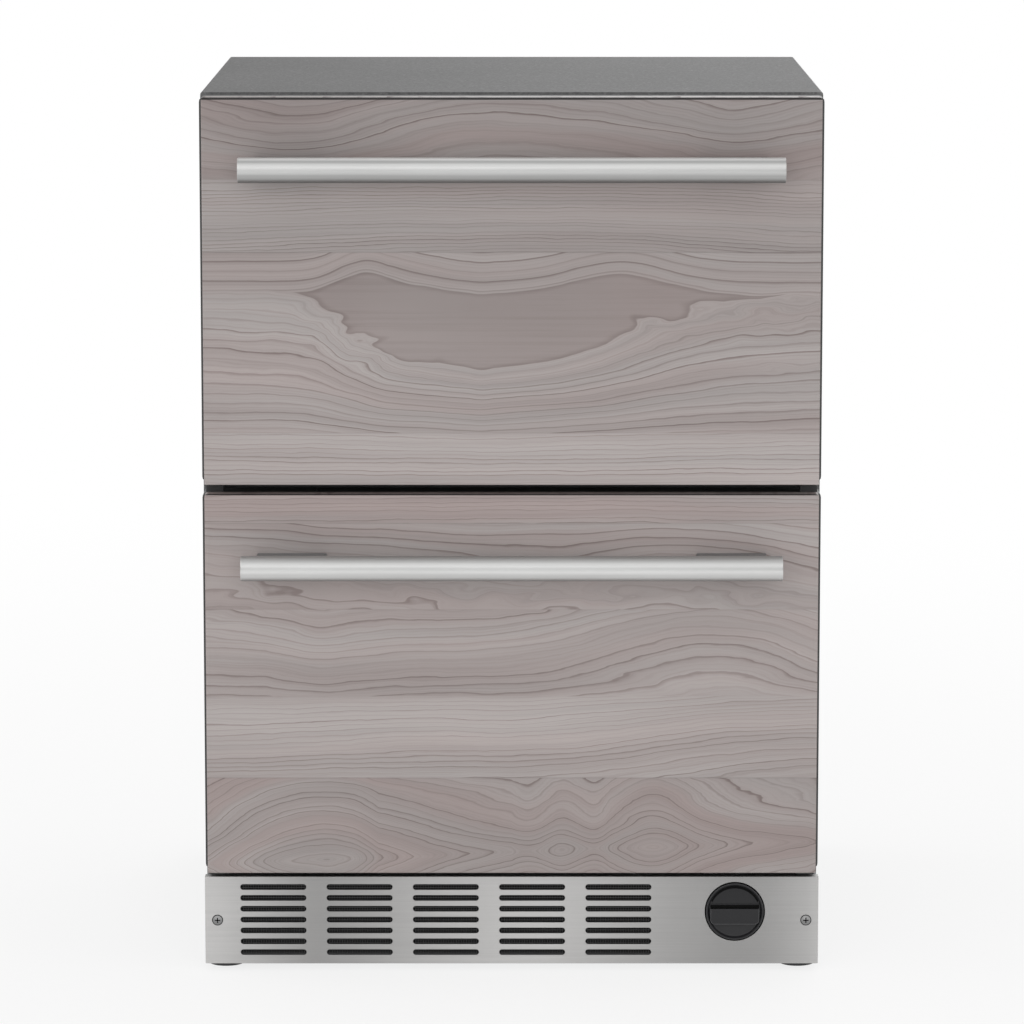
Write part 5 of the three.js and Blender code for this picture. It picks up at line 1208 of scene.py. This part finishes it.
def make_handles():
    """Crowned bars with rounded ends, and their brackets."""
    # The front of a bar's outline: its bulge as a share of the depth, and its arc in degrees.
    back_round, crown, reach, steps = 0.0025, 0.8, 84, 28
    for node, painted_shading_levels in BAR_PAINTED_SHADING.items():
        low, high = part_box(node)
        middle, half = (low.z + high.z) / 2, (high.z - low.z) / 2
        angles = [math.radians(-reach + 2 * reach * i / steps) for i in range(steps + 1)]
        outline = [
            *[(low.y + (high.y - low.y) * (1 - math.cos(t)) * crown, middle + half * math.sin(t))
              for t in angles],
            *arc(high.y - back_round, high.z - back_round, back_round, 80, 0, 5),
            *arc(high.y - back_round, low.z + back_round, back_round, 0, -80, 5),
        ]
        bar = prism(node + "_brushed", [outline], low.x, high.x, "X", edge=0.0007, steps=3)
        # The bar's base colour carries these painted shade and reflection levels.
        stops = [(i / (len(painted_shading_levels) - 1), level) for i, level in enumerate(painted_shading_levels)]
        drift = (2, corner(node, 2, 0), corner(node, 2, 1), stops)
        placed(bar, node, material(node + "_steel", *BAR_FINISH, drift))
        for side in ("left", "right"):
            softened(node.replace("bar", "bracket_" + side), 0.001, steps=3)


def make_feet():
    """Turned levelling feet with a threaded stem."""
    radius, lip, stem, root, turns = 0.018, 0.0012, 0.005, 0.0044, 22
    thread_start = 0.0125
    for name in ("leg_front_left", "leg_front_right", "leg_rear_left", "leg_rear_right"):
        low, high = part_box(name)
        centre = (low + high) / 2
        profile = [
            (0, 0),
            (radius - lip, 0),
            *arc(radius - lip, lip, lip, -90, 0, 4),
            *arc(radius - lip, 0.0038, lip, 0, 80, 4),
            (0.013, 0.0053),
            (0.0082, 0.0114),
            (stem, 0.0116),
        ]
        top = high.z - 0.001
        for i in range(turns):
            base = thread_start + (top - thread_start) * i / turns
            profile += [(stem, base), (root, base + (top - thread_start) / turns * 0.5)]
        profile += [(0.0042, top), (0.0036, high.z), (0, high.z)]
        foot = turned(name + "_turned", profile, (centre.x, centre.y, 0), "Z", 40)
        placed(foot, name, material("black_plastic"))


def make_back_screws():
    """Sheet-metal screws round the back panel."""
    low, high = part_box("back_panel")
    inset, end, sunk = 0.019, 0.04, 0.00005
    points = [
        (x, high.y - sunk, low.z + end + (high.z - low.z - 2 * end) * i / 4)
        for x in (low.x + inset, high.x - inset)
        for i in range(5)
    ]
    points += [
        (low.x + (high.x - low.x) * i / 4, high.y - sunk, high.z - inset) for i in range(1, 4)
    ]
    turn = (math.radians(-90), 0, 0)
    values = {"Radius": sizes().rivet_radius, "Height": 0.0006, "Dome": 0.1, "Turn": turn}
    made_screws(
        "back_screw", "back_panel", points, "screw_steel", values,
        seat=(high.y - 0.0002, high.y + 0.0001), recess=(high.y - 0.0001, high.y + sunk),
    )


# The coils' fins, in metres: the ends without fins, the lift of the block off its feet and the
# depth of a fin.
COILS = {
    "condenser": (0.0183, 0.0183, 0.0042, 0.0685),
    "evaporator": (0.042, 0.0183, 0.006, 0.043),
}


def make_fins():
    """Close thin fins that fill the coils between the tubes' bends."""
    thin, inset, head_room = 0.0004, 0.0007, 0.0012
    for node, (left, right, lift, deep) in COILS.items():
        low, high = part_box(node)
        start, end, foot = low.x + left, high.x - right, low.z + lift
        y, z = low.y + inset + deep / 2, (foot + high.z) / 2
        count = int((end - start) / sizes().fin_pitch)
        points = [(start + (end - start) * (i + 0.5) / count, y, z) for i in range(count)]
        size = {"Size": (thin, deep, high.z - foot - head_room)}
        fins = bar_recipe().made_on(node + "_fins", points, material("fin_aluminium"), size)
        added(fins, node, "fin_aluminium")


def make_air_filter():
    """Black foam behind the louvres, held in a thin frame with a wire screen."""
    low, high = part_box("kick_plate")
    y0, y1 = low.y + 0.0016, low.y + 0.0052
    x0, x1 = low.x + 0.026, corner("filter_cap", 0, 0) - 0.027
    z0, z1 = corner("base_pan", 2, 0) + 0.0018, high.z - 0.0024
    border, wire, spacing = 0.003, 0.0004, 0.0025
    frame_outline = rounded(x0, x1, z0, z1, 0.003)
    opening = rounded(x0 + border, x1 - border, z0 + border, z1 - border, 0.002)
    pad = prism("air_filter_foam", [opening], y0 + 0.0012, y1, "Y", edge=0.0004)
    added(pad, "kick_plate", "filter_foam")
    rim = prism("air_filter_frame", [frame_outline, opening], y0, y1, "Y", edge=0.0003)
    added(rim, "kick_plate", "black_plastic")
    black = material("black_plastic")
    wires = []
    for along, across, (start, end) in ((2, 0, (z0, z1)), (0, 2, (x0, x1))):
        lengths = {0: x1 - x0, 2: z1 - z0}
        count = int(lengths[along] / spacing) - 2
        size = [wire, wire, wire]
        size[across] = lengths[across] - 2 * border
        points = []
        for i in range(count):
            point = [(x0 + x1) / 2, y0 + 0.0008, (z0 + z1) / 2]
            point[along] = start + border + (end - start - 2 * border) * (i + 0.5) / count
            points.append(tuple(point))
        values = {"Size": tuple(size)}
        wires.append(bar_recipe().made_on(f"screen_wires_{along}", points, black, values))
    screen = joined("air_filter_screen", *wires)
    added(screen, "kick_plate", "black_plastic")


def make_bumpers():
    """Rubber stops above and below the lower door, and the dark screws of its top flange."""
    low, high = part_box("lower_door_pan")
    tall, bite = 0.0078, 0.0002
    for name, z0, z1 in (
        ("top", high.z - bite, high.z + tall),
        ("foot", low.z - tall, low.z + bite),
    ):
        blocks = []
        for side in (-1, 1):
            ends = sorted((side * (high.x - 0.0035), side * (high.x - 0.0205)))
            outline = rounded(*ends, z0, z1, 0.0016)
            y0, y1 = low.y + 0.003, low.y + 0.02
            blocks.append(prism(f"bumper_{side}", [outline], y0, y1, "Y", edge=0.0006, steps=2))
        pair = joined(f"lower_door_stops_{name}", *blocks)
        added(pair, "lower_door_pan", "seal_rubber")
    points = [(side * 0.191, (low.y + high.y) / 2, high.z + 0.0004) for side in (-1, 1)]
    values = {"Radius": 0.0034, "Height": 0.0024, "Turn": (0, 0, 0)}
    made_screws("door_screw", "lower_door_pan", points, "black_plastic", values)


def make_air_sleeves():
    """Moulded sleeves with ribs, which line the two return openings between the compartments."""
    top, foot = corner("air_duct", 2, 0) - 0.0005, corner("lower_liner", 2, 1) - 0.0016
    front, back, half, wall, radius, edge = 0.2302, 0.2518, 0.0398, 0.001, 0.0058, 0.0002
    ribs, pitch, thin, rib_tall = 7, 0.0105, 0.0007, 0.004
    parts = []
    for x in (-0.18, 0.18):
        inner = rounded(x - half + wall, x + half - wall, front + wall, back - wall, radius - wall)
        outlines = [rounded(x - half, x + half, front, back, radius), inner]
        parts.append(prism("sleeve", outlines, foot, top, "Z", edge=edge))
        for i in range(ribs):
            rib = x + (i - (ribs - 1) / 2) * pitch
            outline = rounded(rib - thin, rib + thin, front + wall / 2, back - wall / 2, 0.0003, 2)
            parts.append(prism("rib", [outline], top - rib_tall, top - edge, "Z", edge=edge))
    added(joined("air_sleeves", *parts), "upper_liner", "white_plastic")


def make_control_keys():
    """A dark window and four round keys on the control panel's front."""
    low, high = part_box("control_panel")
    foot, top, half = low.z + 0.0105, high.z - 0.0015, 0.03
    outline = rounded(-half, half, foot, top, 0.0012)
    y0, y1 = low.y - 0.0005, low.y + 0.001
    window = prism("control_window", [outline], y0, y1, "Y", edge=0.0003, steps=2)
    added(window, "control_panel", "black_glass")
    flat, edge, depth = 0.0018, 0.0005, -0.0018
    profile = [
        (0, 0), (flat, 0), *arc(flat, -edge, edge, 90, 0, 3), (flat + edge, depth), (0, depth),
    ]
    keys = [
        turned(f"key_{x}", profile, (x, low.y - 0.0006, (foot + top) / 2), "Y", 24)
        for x in (-0.075, -0.052, 0.052, 0.075)
    ]
    added(joined("control_keys", *keys), "control_panel", "white_plastic")


# ---- Stage ----

WHITE = (1.0, 1.0, 1.0)
# Strength of the world as a light; the camera and reflections see it white.
WORLD_LIGHT = 0.6
# The floor is part plain white: the least share of it up to the first distance from the middle,
# and all of it from the second distance on, in metres.
GLOW_LEAST, GLOW_START, GLOW_END = 0.78, 0.8, 3.0
# Each lamp: name, place, target, width, height, watts.
LAMPS = [
    ("front_softbox", (-0.7, -6.2, 1.9), (0, -0.2, 0.45), 6.5, 4.4, 135.0),
    ("right_softbox", (4.4, -2.2, 1.2), (0, 0, 0.45), 3.0, 2.4, 30.0),
    ("top_softbox", (0.0, 0.2, 4.4), (0, 0, 0.4), 3.4, 2.8, 6.0),
    ("back_softbox", (1.6, 4.6, 2.4), (0, 0.3, 0.5), 4.0, 3.0, 60.0),
    ("left_softbox", (-4.4, 0.6, 1.3), (0, 0, 0.45), 3.0, 2.4, 38.0),
]


def make_floor():
    """Pale floor that turns to plain white away from the object."""
    reach = sizes().floor_reach
    mesh = bpy.data.meshes.new("studio_floor")
    corners = [(-reach, -reach, 0), (reach, -reach, 0), (reach, reach, 0), (-reach, reach, 0)]
    mesh.from_pydata(corners, [], [(0, 1, 2, 3)])
    floor = new_object("studio_floor", mesh)
    made = Finish("studio_floor")
    paper = made.noise(3).smooth(0.3, 0.7, 0.995, 1.0)
    made.done(Base_Color=made.shaded("backdrop", paper), Roughness=0.9)
    glow = made.node("ShaderNodeEmission", None, {"Color": WHITE, "Strength": 1.0})
    settings = {"operation": "LENGTH"}
    away = made.node("ShaderNodeVectorMath", settings, (made.place,), "Value")
    share = made.looked_at() * away.smooth(GLOW_START, GLOW_END, GLOW_LEAST, 1.0)
    both = made.node("ShaderNodeMixShader", None, (share, made.shader, glow))
    made.show(both, "ShaderNodeOutputMaterial")
    floor.data.materials.append(made.material)


def light_world():
    """White to the camera and in reflections, and an even light on everything else."""
    world = bpy.data.worlds.new("studio")
    bpy.context.scene.world = world
    world.use_nodes = True
    made = Nodes(world.node_tree)
    level = made.looked_at().smooth(0.0, 1.0, WORLD_LIGHT, 1.0, "LINEAR")
    light = made.node("ShaderNodeBackground", None, {"Color": WHITE, "Strength": level})
    made.show(light, "ShaderNodeOutputWorld")


def add_lamp(name, place, target, wide, tall, watts):
    data = bpy.data.lights.new(name, "AREA")
    data.shape = "RECTANGLE"
    data.size, data.size_y, data.energy = wide, tall, watts
    lamp = new_object(name, data)
    lamp.location = place
    aim = Vector(target) - Vector(place)
    lamp.rotation_euler = aim.to_track_quat("-Z", "Y").to_euler()
    lamp.visible_camera = False


def add_camera():
    """Above the top's height and pitched down, with a long lens."""
    camera = new_object("camera", bpy.data.cameras.new("camera"))
    camera.data.lens = sizes().camera_lens
    camera.data.sensor_width = 36.0
    camera.data.clip_end = 200.0
    y = corner("cabinet_wrap", 1, 0) - sizes().camera_distance
    camera.location = (sizes().camera_side, y, sizes().camera_height)
    camera.rotation_euler = (math.radians(90) - sizes().camera_pitch, 0, 0)
    bpy.context.scene.camera = camera


def make_stage():
    """Pale floor, soft studio light and the camera."""
    bpy.context.scene.view_settings.view_transform = "Standard"
    make_floor()
    light_world()
    for lamp in LAMPS:
        add_lamp(*lamp)
    add_camera()


# ---- Operators and panel ----


class Step:
    """What all the operators share."""

    bl_options = {"REGISTER", "UNDO"}


class FRIDGE_OT_stage(Step, bpy.types.Operator):
    """Makes the floor, the lights and the camera"""

    bl_idname = "fridge.stage"
    bl_label = "Stage"

    def execute(self, context):
        make_stage()
        return {"FINISHED"}


class FRIDGE_OT_finishes(Step, bpy.types.Operator):
    """Gives every carried-over solid the finish of its slot"""

    bl_idname = "fridge.finishes"
    bl_label = "Finishes"

    def execute(self, context):
        finish_nodes()
        return {"FINISHED"}


class FRIDGE_OT_shell(Step, bpy.types.Operator):
    """Makes the moulded and folded pieces with rounded edges"""

    bl_idname = "fridge.shell"
    bl_label = "Shell and mouldings"

    def execute(self, context):
        make_shell()
        return {"FINISHED"}


class FRIDGE_OT_kick_plate(Step, bpy.types.Operator):
    """Makes the punched kick plate and its screws"""

    bl_idname = "fridge.kick_plate"
    bl_label = "Kick plate"

    def execute(self, context):
        make_kick_plate()
        return {"FINISHED"}


class FRIDGE_OT_air_filter(Step, bpy.types.Operator):
    """Makes the foam and screen behind the louvres"""

    bl_idname = "fridge.air_filter"
    bl_label = "Air filter"

    def execute(self, context):
        make_air_filter()
        return {"FINISHED"}


class FRIDGE_OT_filter_cap(Step, bpy.types.Operator):
    """Makes the water filter's turned cap"""

    bl_idname = "fridge.filter_cap"
    bl_label = "Filter cap"

    def execute(self, context):
        make_filter_cap()
        return {"FINISHED"}


class FRIDGE_OT_handles(Step, bpy.types.Operator):
    """Makes the handle bars and their brackets"""

    bl_idname = "fridge.handles"
    bl_label = "Handles"

    def execute(self, context):
        make_handles()
        return {"FINISHED"}


class FRIDGE_OT_feet(Step, bpy.types.Operator):
    """Makes the four levelling feet"""

    bl_idname = "fridge.feet"
    bl_label = "Feet"

    def execute(self, context):
        make_feet()
        return {"FINISHED"}


class FRIDGE_OT_bumpers(Step, bpy.types.Operator):
    """Makes the lower door's stops and screws"""

    bl_idname = "fridge.bumpers"
    bl_label = "Door stops"

    def execute(self, context):
        make_bumpers()
        return {"FINISHED"}


class FRIDGE_OT_fins(Step, bpy.types.Operator):
    """Makes the fins of both coils"""

    bl_idname = "fridge.fins"
    bl_label = "Coil fins"

    def execute(self, context):
        make_fins()
        return {"FINISHED"}


class FRIDGE_OT_air_sleeves(Step, bpy.types.Operator):
    """Makes the sleeves of the return air openings"""

    bl_idname = "fridge.air_sleeves"
    bl_label = "Air sleeves"

    def execute(self, context):
        make_air_sleeves()
        return {"FINISHED"}


class FRIDGE_OT_control_keys(Step, bpy.types.Operator):
    """Makes the control panel's window and keys"""

    bl_idname = "fridge.control_keys"
    bl_label = "Control keys"

    def execute(self, context):
        make_control_keys()
        return {"FINISHED"}


class FRIDGE_OT_back_screws(Step, bpy.types.Operator):
    """Makes the screws of the back panel"""

    bl_idname = "fridge.back_screws"
    bl_label = "Back screws"

    def execute(self, context):
        make_back_screws()
        return {"FINISHED"}


STEPS = (
    FRIDGE_OT_stage,
    FRIDGE_OT_finishes,
    FRIDGE_OT_shell,
    FRIDGE_OT_kick_plate,
    FRIDGE_OT_air_filter,
    FRIDGE_OT_filter_cap,
    FRIDGE_OT_handles,
    FRIDGE_OT_feet,
    FRIDGE_OT_bumpers,
    FRIDGE_OT_fins,
    FRIDGE_OT_air_sleeves,
    FRIDGE_OT_control_keys,
    FRIDGE_OT_back_screws,
)


class FRIDGE_PT_panel(bpy.types.Panel):
    """Lists the steps and their settings"""

    bl_idname = "FRIDGE_PT_panel"
    bl_label = "Refrigerator"
    bl_space_type = "VIEW_3D"
    bl_region_type = "UI"
    bl_category = "Refrigerator"

    def draw(self, context):
        for step in STEPS:
            self.layout.operator(step.bl_idname)
        for group in (context.scene.fridge_sizes, context.scene.fridge_colours):
            box = self.layout.box()
            for name in group.__annotations__:
                box.prop(group, name)


CLASSES = (FRIDGE_PG_sizes, FRIDGE_PG_colours, *STEPS, FRIDGE_PT_panel)


def register():
    for kind in CLASSES:
        bpy.utils.register_class(kind)
    bpy.types.Scene.fridge_sizes = PointerProperty(type=FRIDGE_PG_sizes)
    bpy.types.Scene.fridge_colours = PointerProperty(type=FRIDGE_PG_colours)


def unregister():
    del bpy.types.Scene.fridge_colours
    del bpy.types.Scene.fridge_sizes
    for kind in reversed(CLASSES):
        bpy.utils.unregister_class(kind)


def main():
    register()
    for step in STEPS:
        group, name = step.bl_idname.split(".")
        getattr(getattr(bpy.ops, group), name)()


if __name__ == "__main__":
    main()
